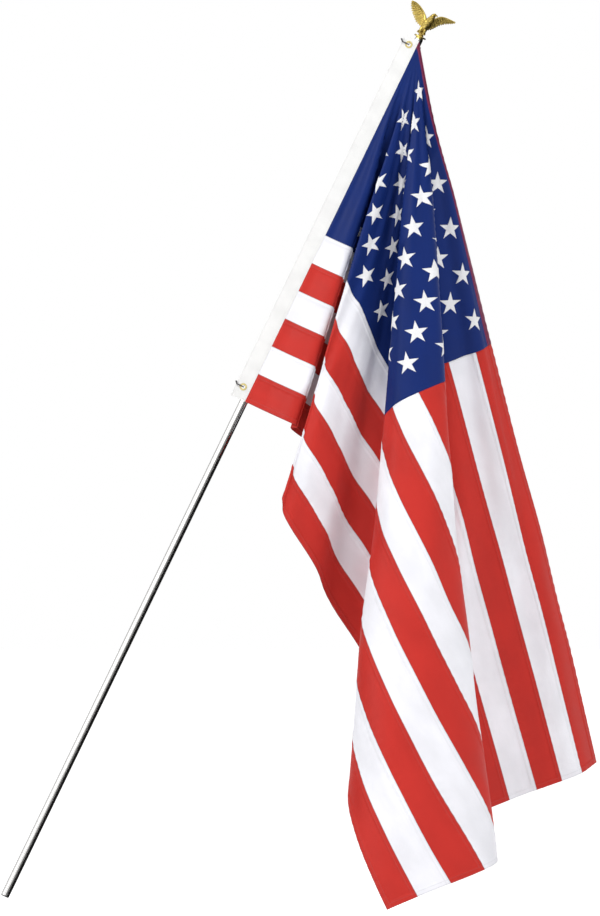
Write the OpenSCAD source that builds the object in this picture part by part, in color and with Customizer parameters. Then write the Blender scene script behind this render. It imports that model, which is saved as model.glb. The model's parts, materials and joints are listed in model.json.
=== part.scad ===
// Hand flag on a two-section steel pole with an eagle finial.
// The pole leans in the XZ plane. The origin is the centre of its foot.

/* [Pole] */
// Outside diameter of both pole sections
pole_d = 16; // [12:0.5:25]
// Wall of the pole tube
pole_wall = 0.8; // [0.6:0.1:1.5]
// Length of the lower section, foot plug included
lower_len = 914; // [500:1:1000]
// Length of the upper section above the joint
upper_len = 900; // [840:1:1200]
// Length of the swaged spigot inside the lower section
spigot_len = 60; // [30:1:90]
// Lean of the pole from upright, in degrees
pole_lean = 25.8; // [20:0.1:32]

/* [Flag] */
// Hoist of the flag, along the pole
hoist = 762; // [600:1:820]
// Fly of the flag, away from the pole
fly = 1455; // [1000:1:1700]
// Thickness of the cloth
cloth_t = 1; // [0.8:0.1:1.6]
// Width of the canvas header
header_w = 30; // [24:0.5:36]
// Thickness of the canvas header
header_t = 1.6; // [1.2:0.1:3]
// Distance from the top of the pole to the top of the header
header_drop = 4; // [3:0.5:20]

/* [Grommets and clips] */
// Bore of a grommet
grommet_bore = 7; // [5:0.5:8]
// Outside diameter of a grommet's flange
grommet_d = 14; // [12:0.5:16]
// Distance from the top grommet to the header's end
grommet_inset_top = 14; // [10:0.5:30]
// Distance from the bottom grommet to the header's end
grommet_inset_bottom = 24; // [10:0.5:30]
// Wire diameter of the clips
wire_d = 2.4; // [1.8:0.1:3]

/* [Finial] */
// Diameter of the finial's base disc
base_d = 23.5; // [18:0.5:32]
// Thickness of the base disc
base_t = 3; // [2:0.5:5]
// Span of the eagle's wings
eagle_span = 97; // [70:1:120]
// Diameter of the finial's stud
stud_d = 6; // [4:0.5:8]

/* [Hidden] */

steel = [0.72, 0.72, 0.74];
gold = [0.80, 0.66, 0.28];
brass = [0.72, 0.58, 0.30];
canvas = [0.95, 0.95, 0.97];
flag_red = [0.77, 0.17, 0.15];
flag_white = [0.93, 0.93, 0.97];
flag_blue = [0.10, 0.18, 0.48];

run_gap = 0.05;      // radial clearance of a running fit
clip_gap = 0.4;      // radial clearance of a clip's ring round the pole
lip = 0.6;           // rolled edge where the two sections meet
plug_t = 2;          // head of the foot plug
plug_stem = 20;      // stem of the foot plug
swage = 4;           // length over which the tube narrows to its spigot
bush_len = 22;       // depth of the top bush in the tube
bush_head = 3;       // head of the top bush above the tube
stud_len = 16;       // depth of the stud in the bush
flange_t = 0.8;      // grommet flange
barrel_wall = 0.7;   // grommet barrel
washer_t = 0.7;      // grommet washer
clip_rise = 4;       // upturned bend of a clip
clip_side = 1.5;     // clearance between a clip's wire and the header's edge
hook_gap = 0.4;      // clearance between a clip's wire and the grommet's face
hook_depth = 3;      // how far the hook reaches behind the header's middle
header_gap = 0.9;    // clearance between a clip's ring and the header
header_seam = 2;     // how far the header's sewn edge lies past the pole's axis
soften = 0.8;        // chamfer of the finial's base
boss_r = 6;          // foot of the boss that the eagle stands on
boss_top_r = 4.6;    // top of the boss
boss_h = 1.6;        // height of the boss
base_gap = 0.3;      // clearance between the base and the bush
plug_inset = 0.3;    // how far the plug's head lies inside the tube's outside
plug_edge = 0.7;     // chamfer of the plug's head
bush_inset = 0.6;    // how far the bush's head lies inside the tube's outside
drawn_span = 97;     // span at which the eagle is drawn
round_fn = 96;

pole_r = pole_d / 2;
tube_r = pole_r - pole_wall;
spigot_r = tube_r - run_gap;
top_s = lower_len + upper_len;
wire_r = wire_d / 2;
ring_r = pole_r + clip_gap + wire_r;
bore_r = grommet_bore / 2;
barrel_r = bore_r + barrel_wall;
header_y = -(ring_r + wire_r + header_gap + header_t / 2);
header_top = top_s - header_drop;
header_left = header_seam - header_w;
header_mid = header_seam - header_w / 2;
base_s = top_s + bush_head + base_gap;

// Places its children on the pole's axis, s up from the foot.
module on_pole(s) {
  rotate([0, pole_lean, 0]) translate([0, 0, s]) children();
}

// ---- the pole -------------------------------------------------------------------------------

module lower_tube() {
  color(steel) on_pole(0) rotate_extrude($fn = round_fn) polygon([
    [tube_r, plug_t], [pole_r, plug_t], [pole_r, lower_len - lip],
    [pole_r - lip, lower_len], [tube_r, lower_len]
  ]);
}

module foot_plug() {
  color([0.25, 0.25, 0.26]) on_pole(0) rotate_extrude($fn = round_fn) polygon([
    [0, 0], [pole_r - plug_inset - plug_edge, 0], [pole_r - plug_inset, plug_edge],
    [pole_r - plug_inset, plug_t],
    [spigot_r, plug_t], [spigot_r, plug_t + plug_stem], [0, plug_t + plug_stem]
  ]);
}

module upper_tube() {
  inner = spigot_r - pole_wall;
  color(steel) on_pole(0) rotate_extrude($fn = round_fn) polygon([
    [inner, lower_len - spigot_len], [spigot_r, lower_len - spigot_len],
    [spigot_r, lower_len], [pole_r - lip, lower_len], [pole_r, lower_len + lip],
    [pole_r, top_s], [tube_r, top_s], [tube_r, lower_len + swage * 2],
    [inner, lower_len + swage]
  ]);
}

module top_bush() {
  bore = stud_d / 2 + run_gap;
  color(gold) on_pole(top_s) difference() {
    union() {
      cylinder(r = pole_r - bush_inset, h = bush_head, $fn = round_fn);
      translate([0, 0, -bush_len]) cylinder(r = spigot_r, h = bush_len + 1, $fn = round_fn);
    }
    translate([0, 0, -bush_len - 1]) cylinder(r = bore, h = bush_len + bush_head + 2, $fn = round_fn);
  }
}

// ---- the finial -----------------------------------------------------------------------------

module finial_stud() {
  color(brass) on_pole(base_s - bush_head - stud_len)
    cylinder(d = stud_d, h = stud_len + bush_head, $fn = round_fn);
}

module finial_base() {
  color(gold) on_pole(base_s) rotate_extrude($fn = round_fn) polygon([
    [0, 0], [base_d / 2 - soften, 0], [base_d / 2, soften], [base_d / 2, base_t - soften],
    [base_d / 2 - soften, base_t], [boss_r, base_t], [boss_top_r, base_t + boss_h],
    [0, base_t + boss_h]
  ]);
}

// Half of the wing outline at the drawn span, from the shoulder round to the armpit.
wing_points = [[4, 30], [10, 35], [18, 42], [26, 49], [33, 51], [41, 55], [45, 55], [48.5, 50],
               [43, 43], [37, 35], [30, 26], [22, 19], [14, 15], [4, 14]];

module wing(side) {
  k = eagle_span / drawn_span;
  scale(k) mirror([side < 0 ? 1 : 0, 0, 0]) rotate([0, 0, 14]) rotate([90, 0, 0])
    translate([0, 0, -1.6]) linear_extrude(3.2) offset(r = 1, $fn = 24) offset(r = -1)
      polygon(wing_points);
}

module eagle() {
  k = eagle_span / drawn_span;
  color(gold) on_pole(base_s + base_t + boss_h) {
    wing(1);
    wing(-1);
    scale(k) {
      // breast and neck
      hull() {
        translate([0, -1, 13]) sphere(r = 6, $fn = 32);
        translate([0, -2, 27]) sphere(r = 8, $fn = 32);
      }
      hull() {
        translate([1, -3, 34]) sphere(r = 5, $fn = 32);
        translate([5, -4, 44]) sphere(r = 4.2, $fn = 32);
      }
      // beak
      hull() {
        translate([8, -4.5, 44]) sphere(r = 2, $fn = 24);
        translate([12, -5, 42]) sphere(r = 0.8, $fn = 24);
      }
      // tail
      hull() {
        translate([0, 3, 12]) sphere(r = 3, $fn = 24);
        translate([-6, 7, 1.5]) sphere(r = 1.5, $fn = 24);
        translate([6, 7, 1.5]) sphere(r = 1.5, $fn = 24);
      }
      // legs
      for (x = [-3, 3]) translate([x, -1, 0]) cylinder(r = 1.8, h = 12, $fn = 24);
    }
  }
}

// ---- grommets and clips -----------------------------------------------------------------------

grommet_s = [header_top - grommet_inset_top, header_top - hoist + grommet_inset_bottom];

// Turns its children so that Z points forward, out of the header's front face.
module at_grommet(s) {
  on_pole(s) translate([header_mid, header_y, 0]) rotate([90, 0, 0]) children();
}

module grommet(s) {
  half = header_t / 2;
  color(brass) at_grommet(s) rotate_extrude($fn = round_fn) polygon([
    [bore_r, -half - washer_t], [barrel_r, -half - washer_t], [barrel_r, half],
    [grommet_d / 2, half], [grommet_d / 2 - 0.4, half + flange_t], [bore_r, half + flange_t]
  ]);
}

module washer(s) {
  half = header_t / 2;
  color(brass) at_grommet(s) translate([0, 0, -half - washer_t]) difference() {
    cylinder(d = grommet_d - 1, h = washer_t, $fn = round_fn);
    translate([0, 0, -1]) cylinder(r = barrel_r, h = washer_t + 2, $fn = round_fn);
  }
}

module wire(a, b) {
  run = b - a;
  len = norm(run);
  translate(a) rotate([0, acos(run[2] / len), atan2(run[1], run[0])])
    cylinder(r = wire_r, h = len, $fn = 32);
}

// A spring wire: a ring round the pole, an arm behind the header, and a hook into the grommet.
module clip(s) {
  front_y = header_y - header_t / 2 - flange_t - wire_r - hook_gap;
  left_x = header_left - wire_r - clip_side;
  points = [
    [-ring_r, 0, clip_rise], [left_x, 0, clip_rise], [left_x, front_y, clip_rise],
    [left_x + clip_rise, front_y, 0], [header_mid, front_y, 0], [header_mid, header_y + hook_depth, 0]
  ];
  color([0.35, 0.36, 0.38]) on_pole(s) {
    translate([0, 0, clip_rise]) rotate_extrude($fn = round_fn)
      translate([ring_r, 0]) circle(r = wire_r, $fn = 32);
    for (i = [0 : len(points) - 2]) wire(points[i], points[i + 1]);
    for (i = [1 : len(points) - 2]) translate(points[i]) sphere(r = wire_r, $fn = 32);
  }
}

module upper_clip() clip(grommet_s[0]);
module lower_clip() clip(grommet_s[1]);
module upper_grommet() grommet(grommet_s[0]);
module lower_grommet() grommet(grommet_s[1]);
module upper_washer() washer(grommet_s[0]);
module lower_washer() washer(grommet_s[1]);

// ---- the flag -------------------------------------------------------------------------------
// The cloth hangs as a cone of folds from the header's top corner. A point is u down the hoist
// and v along the fly. Its reach from the corner is kept, and its cloth angle, 0 on the top hem
// and 90 on the header, is laid out by the fold plan.

stripe_n = 13;
canton_stripes = 7;
fly_steps = 60;
canton_steps = 25;
stripe_steps = 2;
stripe_w = hoist / stripe_n;
canton_len = fly * canton_steps / fly_steps;
head_fall = 90 + pole_lean;

// Fold plan: cloth angle, fall below the horizontal, swing to the back. All in degrees.
FOLDS = [
  // the hem and the back panel
  [0, 76, 12.6], [2.5, 77.4, 10.2], [5.5, 79.7, 9.4], [8.5, 82.5, 8.4], [11, 85, 7.2],
  [14, 87.6, 5.6],
  // the pleat behind the lobe, and the lobe
  [16, 88.4, 3.4], [18, 87.8, 0.8], [20.5, 86.1, -2.4], [22.5, 87.1, -4.8], [25, 89.3, -6.4],
  [28, 92.5, -6.6], [30.5, 94.6, -5.6], [32.5, 95.5, -3.8],
  // the pleat between the lobe and the flap, and the flap
  [35, 94.2, -1.8], [37, 93.2, 0], [39, 93.8, 1.8], [41.5, 95.8, 2.4], [44.5, 98.6, 1.4],
  [48, 101, -0.8], [50.5, 102.8, -2.2], [53.5, 105.3, -3.3], [56.5, 106.7, -3.3],
  // the deep pleat behind the flap, and the block beside the header
  [58, 106.2, -1.4], [60, 104.4, 0], [62.5, 102, 1.5], [64.5, 100, 2.9], [66, 98.8, 4.1],
  [67.5, 99.2, 5.2], [70, 101.4, 4.5], [73, 104.2, 3.2], [76, 106.8, 2], [78, 108, 0.7],
  [79.5, 108.2, -0.6], [81, 107.3, -0.8], [83, head_fall - 7.6, -1.6],
  [85.5, head_fall - 5, -1.1], [88, head_fall - 2.2, 0], [90, head_fall, 0]
];
hem_start = 80;      // fall of the top hem at the corner, before the folds begin
fold_from = 40;      // reach at which the folds begin
fold_full = 320;     // reach at which they are full
lobe_bend = 1.9;     // how far the lobe's right edge drifts towards the hem lower down
lobe_drop = 0.012;   // how far the lobe sags below its cut length lower down
lobe_from = 700;     // reach at which both begin
lobe_full = 1600;    // reach at which they are full
lobe_first = 11;     // cloth angles between which the lobe drifts
lobe_last = 26;
flap_slide = 12;     // how many degrees more cloth the flap would hold at the corner
flap_most = 8;       // the most that it holds
flap_even = 650;     // reach at which it holds what the fold plan says
flap_first = 36;     // cloth angles between which the flap's cloth shifts
flap_last = 84;
flap_rise = 16;      // cloth angles over which the shift begins, and ends
flap_end = 26;

corner = [
  header_top * sin(pole_lean) + header_seam * cos(pole_lean), header_y,
  header_top * cos(pole_lean) - header_seam * sin(pole_lean)
];

function ease(x) = x <= 0 ? 0 : x >= 1 ? 1 : x * x * (3 - 2 * x);

function fold_at(a, i = 0) =
  i >= len(FOLDS) - 2 || a <= FOLDS[i + 1][0] ? i : fold_at(a, i + 1);

function fold_slope(i, c) =
  let (lo = max(i - 1, 0), hi = min(i + 1, len(FOLDS) - 1))
  (FOLDS[hi][c] - FOLDS[lo][c]) / (FOLDS[hi][0] - FOLDS[lo][0]);

function fold_value(a, c) =
  let (
    i = fold_at(a),
    step = FOLDS[i + 1][0] - FOLDS[i][0],
    t = (a - FOLDS[i][0]) / step
  )
  FOLDS[i][c] * (1 + 2 * t) * (1 - t) * (1 - t)
  + FOLDS[i + 1][c] * t * t * (3 - 2 * t)
  + step * t * (1 - t) * (fold_slope(i, c) * (1 - t) - fold_slope(i + 1, c) * t);

// Cloth shifts between the flap and the deep pleat behind it, more so near the corner.
function flap_angle(a, reach) =
  let (slide = max(0, min(flap_most, flap_slide * (1 - reach / flap_even))))
  a - slide * ease((a - flap_first) / flap_rise)
    * (1 - ease((a - flap_last + flap_end) / flap_end));

function lobe_share(a) =
  a < lobe_first || a > lobe_last ? 0
    : (1 - cos(360 * (a - lobe_first) / (lobe_last - lobe_first))) / 2;

function cloth(u, v) =
  let (
    reach = norm([u, v]),
    a = reach < 0.001 ? 90 : atan2(u, v),
    full = ease((reach - fold_from) / (fold_full - fold_from)),
    low = ease((reach - lobe_from) / (lobe_full - lobe_from)),
    plain = hem_start + (head_fall - hem_start) * a / 90,
    b = flap_angle(a, reach),
    fall = plain + full * (fold_value(b, 1) - plain) - lobe_bend * lobe_share(a) * low,
    back = full * fold_value(b, 2),
    drop = 1 + lobe_drop * low * ease((a - lobe_first) / (lobe_last - lobe_first))
  )
  corner + reach * drop * [cos(back) * cos(fall), sin(back), -cos(back) * sin(fall)];

// Unit normal of the cloth, towards the front.
function cloth_normal(u, v) =
  let (
    e = 0.5,
    du = cloth(u + e, v) - cloth(max(u - e, 0), v),
    dv = cloth(u, v + e) - cloth(u, max(v - e, 0)),
    n = cross(dv, du)
  )
  n / norm(n);

function cell(row, k, cols) =
  let (p = row * cols + k) [[p, p + 1, p + cols + 1], [p, p + cols + 1, p + cols]];

// A closed sheet of cloth between two hoist values and two fly values.
module sheet(u0, u1, u_steps, v0, v1, v_steps) {
  cols = v_steps + 1;
  rows = u_steps + 1;
  side = rows * cols;
  grid = [
    for (i = [0 : u_steps]) for (k = [0 : v_steps])
      [u0 + (u1 - u0) * i / u_steps, v0 + (v1 - v0) * k / v_steps]
  ];
  middle = [for (g = grid) cloth(g[0], g[1])];
  out = [for (g = grid) cloth_normal(g[0], g[1]) * cloth_t / 2];
  front = [for (i = [0 : u_steps - 1]) for (k = [0 : v_steps - 1]) each cell(i, k, cols)];
  border = concat(
    [for (k = [0 : v_steps]) k],
    [for (i = [1 : u_steps]) i * cols + v_steps],
    [for (k = [v_steps - 1 : -1 : 0]) u_steps * cols + k],
    [for (i = [u_steps - 1 : -1 : 1]) i * cols]
  );
  // Neighbouring sheets split their shared faces along the same diagonals.
  edge = [
    for (j = [0 : len(border) - 1])
      let (a = border[j], b = border[(j + 1) % len(border)])
      each a < b
        ? [[b, a, a + side], [b, a + side, b + side]]
        : [[b, a, b + side], [a, a + side, b + side]]
  ];
  polyhedron(
    points = concat([for (j = [0 : side - 1]) middle[j] + out[j]],
                    [for (j = [0 : side - 1]) middle[j] - out[j]]),
    faces = concat(front, [for (f = front) [f[0] + side, f[2] + side, f[1] + side]], edge)
  );
}

module stripe(n) {
  v0 = n <= canton_stripes ? canton_len : 0;
  steps = n <= canton_stripes ? fly_steps - canton_steps : fly_steps;
  color(n % 2 == 1 ? flag_red : flag_white)
    sheet((n - 1) * stripe_w, n * stripe_w, stripe_steps, v0, fly, steps);
}

module canton() {
  color(flag_blue) sheet(0, canton_stripes * stripe_w, canton_stripes * stripe_steps,
                         0, canton_len, canton_steps);
}

module header() {
  color(canvas) difference() {
    on_pole(header_top - hoist) translate([header_left, header_y - header_t / 2, 0])
      cube([header_w, header_t, hoist]);
    for (s = grommet_s) at_grommet(s) translate([0, 0, -header_t])
      cylinder(r = barrel_r, h = header_t * 2, $fn = round_fn);
  }
}

lower_tube();
foot_plug();
upper_tube();
top_bush();
finial_stud();
finial_base();
eagle();
upper_clip();
lower_clip();
upper_grommet();
lower_grommet();
upper_washer();
lower_washer();
header();
canton();
stripe(1);  // stripe_01
stripe(2);  // stripe_02
stripe(3);  // stripe_03
stripe(4);  // stripe_04
stripe(5);  // stripe_05
stripe(6);  // stripe_06
stripe(7);  // stripe_07
stripe(8);  // stripe_08
stripe(9);  // stripe_09
stripe(10);  // stripe_10
stripe(11);  // stripe_11
stripe(12);  // stripe_12
stripe(13);  // stripe_13
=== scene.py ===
"""The looks of a pole flag: sewn cloth, canvas header, stitching, gilt eagle and studio."""

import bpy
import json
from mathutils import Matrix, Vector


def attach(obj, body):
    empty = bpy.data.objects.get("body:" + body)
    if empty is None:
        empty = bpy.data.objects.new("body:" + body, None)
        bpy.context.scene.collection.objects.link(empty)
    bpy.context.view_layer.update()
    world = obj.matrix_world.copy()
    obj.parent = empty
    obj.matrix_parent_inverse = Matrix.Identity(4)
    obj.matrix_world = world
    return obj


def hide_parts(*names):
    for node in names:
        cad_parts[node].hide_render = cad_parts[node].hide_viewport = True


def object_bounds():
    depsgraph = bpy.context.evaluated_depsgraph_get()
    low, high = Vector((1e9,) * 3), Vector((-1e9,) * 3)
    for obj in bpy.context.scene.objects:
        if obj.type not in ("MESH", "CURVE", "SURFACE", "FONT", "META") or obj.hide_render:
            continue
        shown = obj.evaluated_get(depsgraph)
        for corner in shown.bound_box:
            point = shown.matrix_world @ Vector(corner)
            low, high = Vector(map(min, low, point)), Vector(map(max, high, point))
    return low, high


bl_info = {
    "name": "Pole Flag",
    "version": (1, 0, 0),
    "blender": (4, 5, 0),
    "location": "3D View > Sidebar > Pole Flag",
    "description": "Builds a sewn flag on a leaning pole with an eagle finial",
    "category": "Object",
}

import json
import math

import bmesh
import bpy
import numpy as np
from mathutils import Matrix, Vector

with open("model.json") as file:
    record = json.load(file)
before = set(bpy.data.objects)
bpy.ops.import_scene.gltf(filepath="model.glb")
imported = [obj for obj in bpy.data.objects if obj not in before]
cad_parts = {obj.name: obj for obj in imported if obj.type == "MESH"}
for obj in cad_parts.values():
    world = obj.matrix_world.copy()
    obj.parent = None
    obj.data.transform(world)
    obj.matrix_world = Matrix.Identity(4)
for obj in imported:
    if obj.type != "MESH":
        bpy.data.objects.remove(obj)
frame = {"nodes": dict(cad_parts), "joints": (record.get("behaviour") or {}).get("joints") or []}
CAD_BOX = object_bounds()

MM = 0.001
SWING = next(j for j in frame["joints"] if j["name"] == "flag_swing")
LEAN = math.atan2(SWING["axis"][0], SWING["axis"][2])
TO_WORLD = np.array(Matrix.Rotation(LEAN, 3, "Y"))  # from the pole's own frame, Z along the pole


def pole_box(node):
    """A CAD node's lowest and highest corners in the pole's own frame, in metres."""
    points = np.array([v.co for v in frame["nodes"][node].data.vertices], float)
    local = points @ TO_WORLD
    return local.min(0), local.max(0)


HEADER_LOW, HEADER_HIGH = pole_box("header")
BASE_HIGH = pole_box("finial_base")[1]
GROMMETS = [pole_box(n) for n in ("upper_grommet", "lower_grommet")]

# ---- settings ---------------------------------------------------------------------------------


def length_property(name, description, default, **limits):
    """A length setting, in metres."""
    return bpy.props.FloatProperty(
        name=name, description=description, default=default, unit="LENGTH", **limits)


def power_property(name, description, default):
    """A lamp's power setting, in watts."""
    return bpy.props.FloatProperty(
        name=name, description=description, default=default, unit="POWER")


def colour_property(name, description, default):
    """A colour setting, in linear values."""
    return bpy.props.FloatVectorProperty(
        name=name, description=description, default=default, size=3,
        min=0, max=1, subtype="COLOR")


class FlagSizes(bpy.types.PropertyGroup):
    """Sizes of the sewn flag."""

    fly: length_property("Fly", "Length of the stripes, away from the pole", 1.455, min=0.5)
    union_share: bpy.props.FloatProperty(
        name="Union share", description="Share of the fly that the star field takes",
        default=25 / 60, min=0.2, max=0.6)
    cloth_thickness: length_property("Cloth", "Thickness of a single layer of cloth", 0.5 * MM)
    seam_width: length_property("Seam", "Width of the felled seam between two stripes", 8 * MM)
    hem_width: length_property("Hem", "Width of the turned hems", 10 * MM)
    star_radius: length_property("Star radius", "From a star's centre to a point", 23.5 * MM)
    star_gap: length_property(
        "Star column spacing", "Distance between neighbouring star columns", 46 * MM)
    star_margin: length_property(
        "Star margin", "From the header to one spacing before the first column", 41 * MM)
    tape_width: length_property(
        "Hem tape", "Width of the tape over the star field's top hem", 14 * MM)
    weave_pitch: length_property(
        "Weave pitch", "Distance between neighbouring threads of the cloth", 0.55 * MM)
    stitch_pitch: length_property("Stitch pitch", "Length of one stitch and its gap", 3.4 * MM)
    pucker: length_property(
        "Pucker", "Height of the small waves that the seams draw in the cloth", 0.55 * MM)
    ripple: length_property(
        "Ripple", "Height of the soft folds that run down from the top corner", 8.0 * MM)


class FlagColours(bpy.types.PropertyGroup):
    """Colours of the cloth and its thread."""

    red: colour_property("Red", "Red stripes", (0.56, 0.034, 0.026))
    white: colour_property("White", "White stripes", (0.88, 0.88, 0.93))
    blue: colour_property("Blue", "Star field", (0.007, 0.024, 0.150))
    maroon: colour_property("Hem tape", "Tape over the star field's top hem", (0.16, 0.022, 0.060))
    canvas: colour_property("Canvas", "Header canvas", (0.86, 0.86, 0.85))
    star: colour_property("Star", "Embroidered stars", (0.92, 0.92, 0.94))
    thread: colour_property("Thread", "Sewing thread", (0.80, 0.80, 0.80))


class FinialSizes(bpy.types.PropertyGroup):
    """Sizes and colour of the eagle."""

    span: length_property("Span", "From wing tip to wing tip", 97 * MM)
    gilt: colour_property("Gilt", "Gilding", (0.62, 0.47, 0.13))
    # colour of real tarnish, and of painted shade in the eagle's hollows
    tarnish_and_shade: colour_property("Tarnish and shade", "Darker gilding in the hollows", (0.13, 0.075, 0.012))


class StudioSettings(bpy.types.PropertyGroup):
    """Camera, lamps and floor."""

    camera_distance: length_property("Camera distance", "From the camera to the pole", 36.0)
    view_height: length_property("View height", "Height of the camera's view at the pole", 1.745)
    floor_drop: length_property("Floor drop", "From the flag's lowest point to the floor", 0.12)
    key_power: power_property("Key lamp", "Power of the large soft lamp", 236)
    fill_power: power_property("Fill lamp", "Power of the lamp on the right", 95)
    back_power: power_property("Back lamp", "Power of the lamp behind the flag", 150)
    ambient: bpy.props.FloatProperty(
        name="Ambient", description="Strength of the studio's even light", default=0.40)


# ---- the hanging cloth ------------------------------------------------------------------------
# A point of the cloth is u down the hoist and v along the fly, in metres. The cloth hangs as a
# cone of folds from the header's top corner: a point's reach from the corner is kept, and its
# cloth angle, 0 on the top hem and 90 on the header, is laid out by the fold plan.

HOIST = HEADER_HIGH[2] - HEADER_LOW[2]
STRIPES = 13
UNION_STRIPES = 7
STRIPE = HOIST / STRIPES
HEADER_Y = (HEADER_LOW[1] + HEADER_HIGH[1]) / 2
HEADER_HALF = (HEADER_HIGH[1] - HEADER_LOW[1]) / 2
HEAD_FALL = 90 + math.degrees(LEAN)

# Cloth angle, fall below the horizontal, swing to the back, all in degrees.
FOLDS = np.array([
    # the hem and the back panel
    [0, 76, 12.6], [2.5, 77.4, 10.2], [5.5, 79.7, 9.4], [8.5, 82.5, 8.4], [11, 85, 7.2],
    [14, 87.6, 5.6],
    # the pleat behind the lobe, and the lobe
    [16, 88.4, 3.4], [18, 87.8, 0.8], [20.5, 86.1, -2.4], [22.5, 87.1, -4.8], [25, 89.3, -6.4],
    [28, 92.5, -6.6], [30.5, 94.6, -5.6], [32.5, 95.5, -3.8],
    # the pleat between the lobe and the flap, and the flap
    [35, 94.2, -1.8], [37, 93.2, 0], [39, 93.8, 1.8], [41.5, 95.8, 2.4], [44.5, 98.6, 1.4],
    [48, 101, -0.8], [50.5, 102.8, -2.2], [53.5, 105.3, -3.3], [56.5, 106.7, -3.3],
    # the deep pleat behind the flap, and the block beside the header
    [58, 106.2, -1.4], [60, 104.4, 0], [62.5, 102, 1.5], [64.5, 100, 2.9], [66, 98.8, 4.1],
    [67.5, 99.2, 5.2], [70, 101.4, 4.5], [73, 104.2, 3.2], [76, 106.8, 2], [78, 108, 0.7],
    [79.5, 108.2, -0.6], [81, 107.3, -0.8], [83, HEAD_FALL - 7.6, -1.6],
    [85.5, HEAD_FALL - 5, -1.1], [88, HEAD_FALL - 2.2, 0], [90, HEAD_FALL, 0],
])
HEM_START = 80.0  # fall of the top hem at the corner, before the folds begin
FOLD_FROM, FOLD_FULL = 0.040, 0.320  # reach at which the folds begin, and are full
LOBE_BEND, LOBE_DROP = 1.9, 0.012  # the lobe's drift in degrees, and its sag as a share
LOBE_FROM, LOBE_FULL = 0.700, 1.600  # reach at which both begin, and are full
LOBE_FIRST, LOBE_LAST = 11.0, 26.0  # cloth angles between which the lobe drifts
FLAP_SLIDE, FLAP_MOST, FLAP_EVEN = 12.0, 8.0, 0.650
FLAP_FIRST, FLAP_RISE, FLAP_LAST, FLAP_FALL = 36.0, 16.0, 84.0, 26.0
RIPPLES = ((13.0, 0.6, 0.50), (8.1, 2.1, 0.32), (5.2, 4.0, 0.18))  # degrees, phase, share
# Degrees, phase, and the run and start of each swell's wander.
SWELLS = ((16.0, 0.9, 0.26, 0.0), (9.5, 2.7, 0.19, 1.7), (6.0, 5.1, 0.14, 3.1))
RIPPLE_FULL = 0.26  # reach at which the ripples are full
RIPPLE_FADE, RIPPLE_FADE_RUN = 0.75, 0.5  # reach from which they fade, and over how far
SWELL_HEIGHT = 6.0 * MM
SWELL_FROM, SWELL_RUN = 0.35, 0.6  # reach from which the swells grow, and over how far
CALM_SHARE = 0.75  # how much both are damped in the deep pleat
CALM_FIRST, CALM_LAST = 54, 78  # cloth angles of the pleat's edges
PUCKER_WAVE = 19 * MM
PUCKER_REACH = 13 * MM


def ease(x):
    """A smooth rise from 0 to 1 while x goes from 0 to 1."""
    x = np.clip(x, 0, 1)
    return x * x * (3 - 2 * x)


def fold_value(angle, column):
    """A smooth curve through one column of the fold plan."""
    knots, values = FOLDS[:, 0], FOLDS[:, column]
    last = len(knots) - 1
    before = np.maximum(np.arange(last + 1) - 1, 0)
    after = np.minimum(np.arange(last + 1) + 1, last)
    slopes = (values[after] - values[before]) / (knots[after] - knots[before])
    i = np.clip(np.searchsorted(knots, angle, side="left") - 1, 0, last - 1)
    step = knots[i + 1] - knots[i]
    t = (angle - knots[i]) / step
    return (values[i] * (1 + 2 * t) * (1 - t) ** 2 + values[i + 1] * t * t * (3 - 2 * t)
            + step * t * (1 - t) * (slopes[i] * (1 - t) - slopes[i + 1] * t))


def cloth_angle(u, v):
    """A point's reach from the top corner, and its cloth angle in degrees."""
    reach = np.hypot(u, v)
    return reach, np.where(reach < MM, 90, np.degrees(np.arctan2(u, v)))


def draped(u, v):
    """Where the smooth cloth lies, as an array of points."""
    reach, a = cloth_angle(u, v)
    full = ease((reach - FOLD_FROM) / (FOLD_FULL - FOLD_FROM))
    low = ease((reach - LOBE_FROM) / (LOBE_FULL - LOBE_FROM))
    plain = HEM_START + (HEAD_FALL - HEM_START) * a / 90
    slide = np.clip(FLAP_SLIDE * (1 - reach / FLAP_EVEN), 0, FLAP_MOST)
    slid = a - slide * ease((a - FLAP_FIRST) / FLAP_RISE) * (
        1 - ease((a - FLAP_LAST + FLAP_FALL) / FLAP_FALL))
    lobe = np.clip((a - LOBE_FIRST) / (LOBE_LAST - LOBE_FIRST), 0, 1)
    drift = LOBE_BEND * (1 - np.cos(2 * np.pi * lobe)) / 2 * low
    fall = np.radians(plain + full * (fold_value(slid, 1) - plain) - drift)
    back = np.radians(full * fold_value(slid, 2))
    reach = reach * (1 + LOBE_DROP * low * ease(lobe))
    corner = TO_WORLD @ np.array([HEADER_HIGH[0], HEADER_Y, HEADER_HIGH[2]])
    across = np.stack([np.cos(back) * np.cos(fall), np.sin(back), -np.cos(back) * np.sin(fall)], -1)
    return corner + reach[..., None] * across


def normals(surface, u, v):
    """Unit normals of a surface of u and v, towards the cloth's front."""
    e = 0.4 * MM
    u, v = np.maximum(u, e), np.maximum(v, e)
    du = surface(u + e, v) - surface(u - e, v)
    dv = surface(u, v + e) - surface(u, v - e)
    n = np.cross(dv, du)
    return n / np.maximum(np.linalg.norm(n, axis=-1, keepdims=True), 1e-12)


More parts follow.
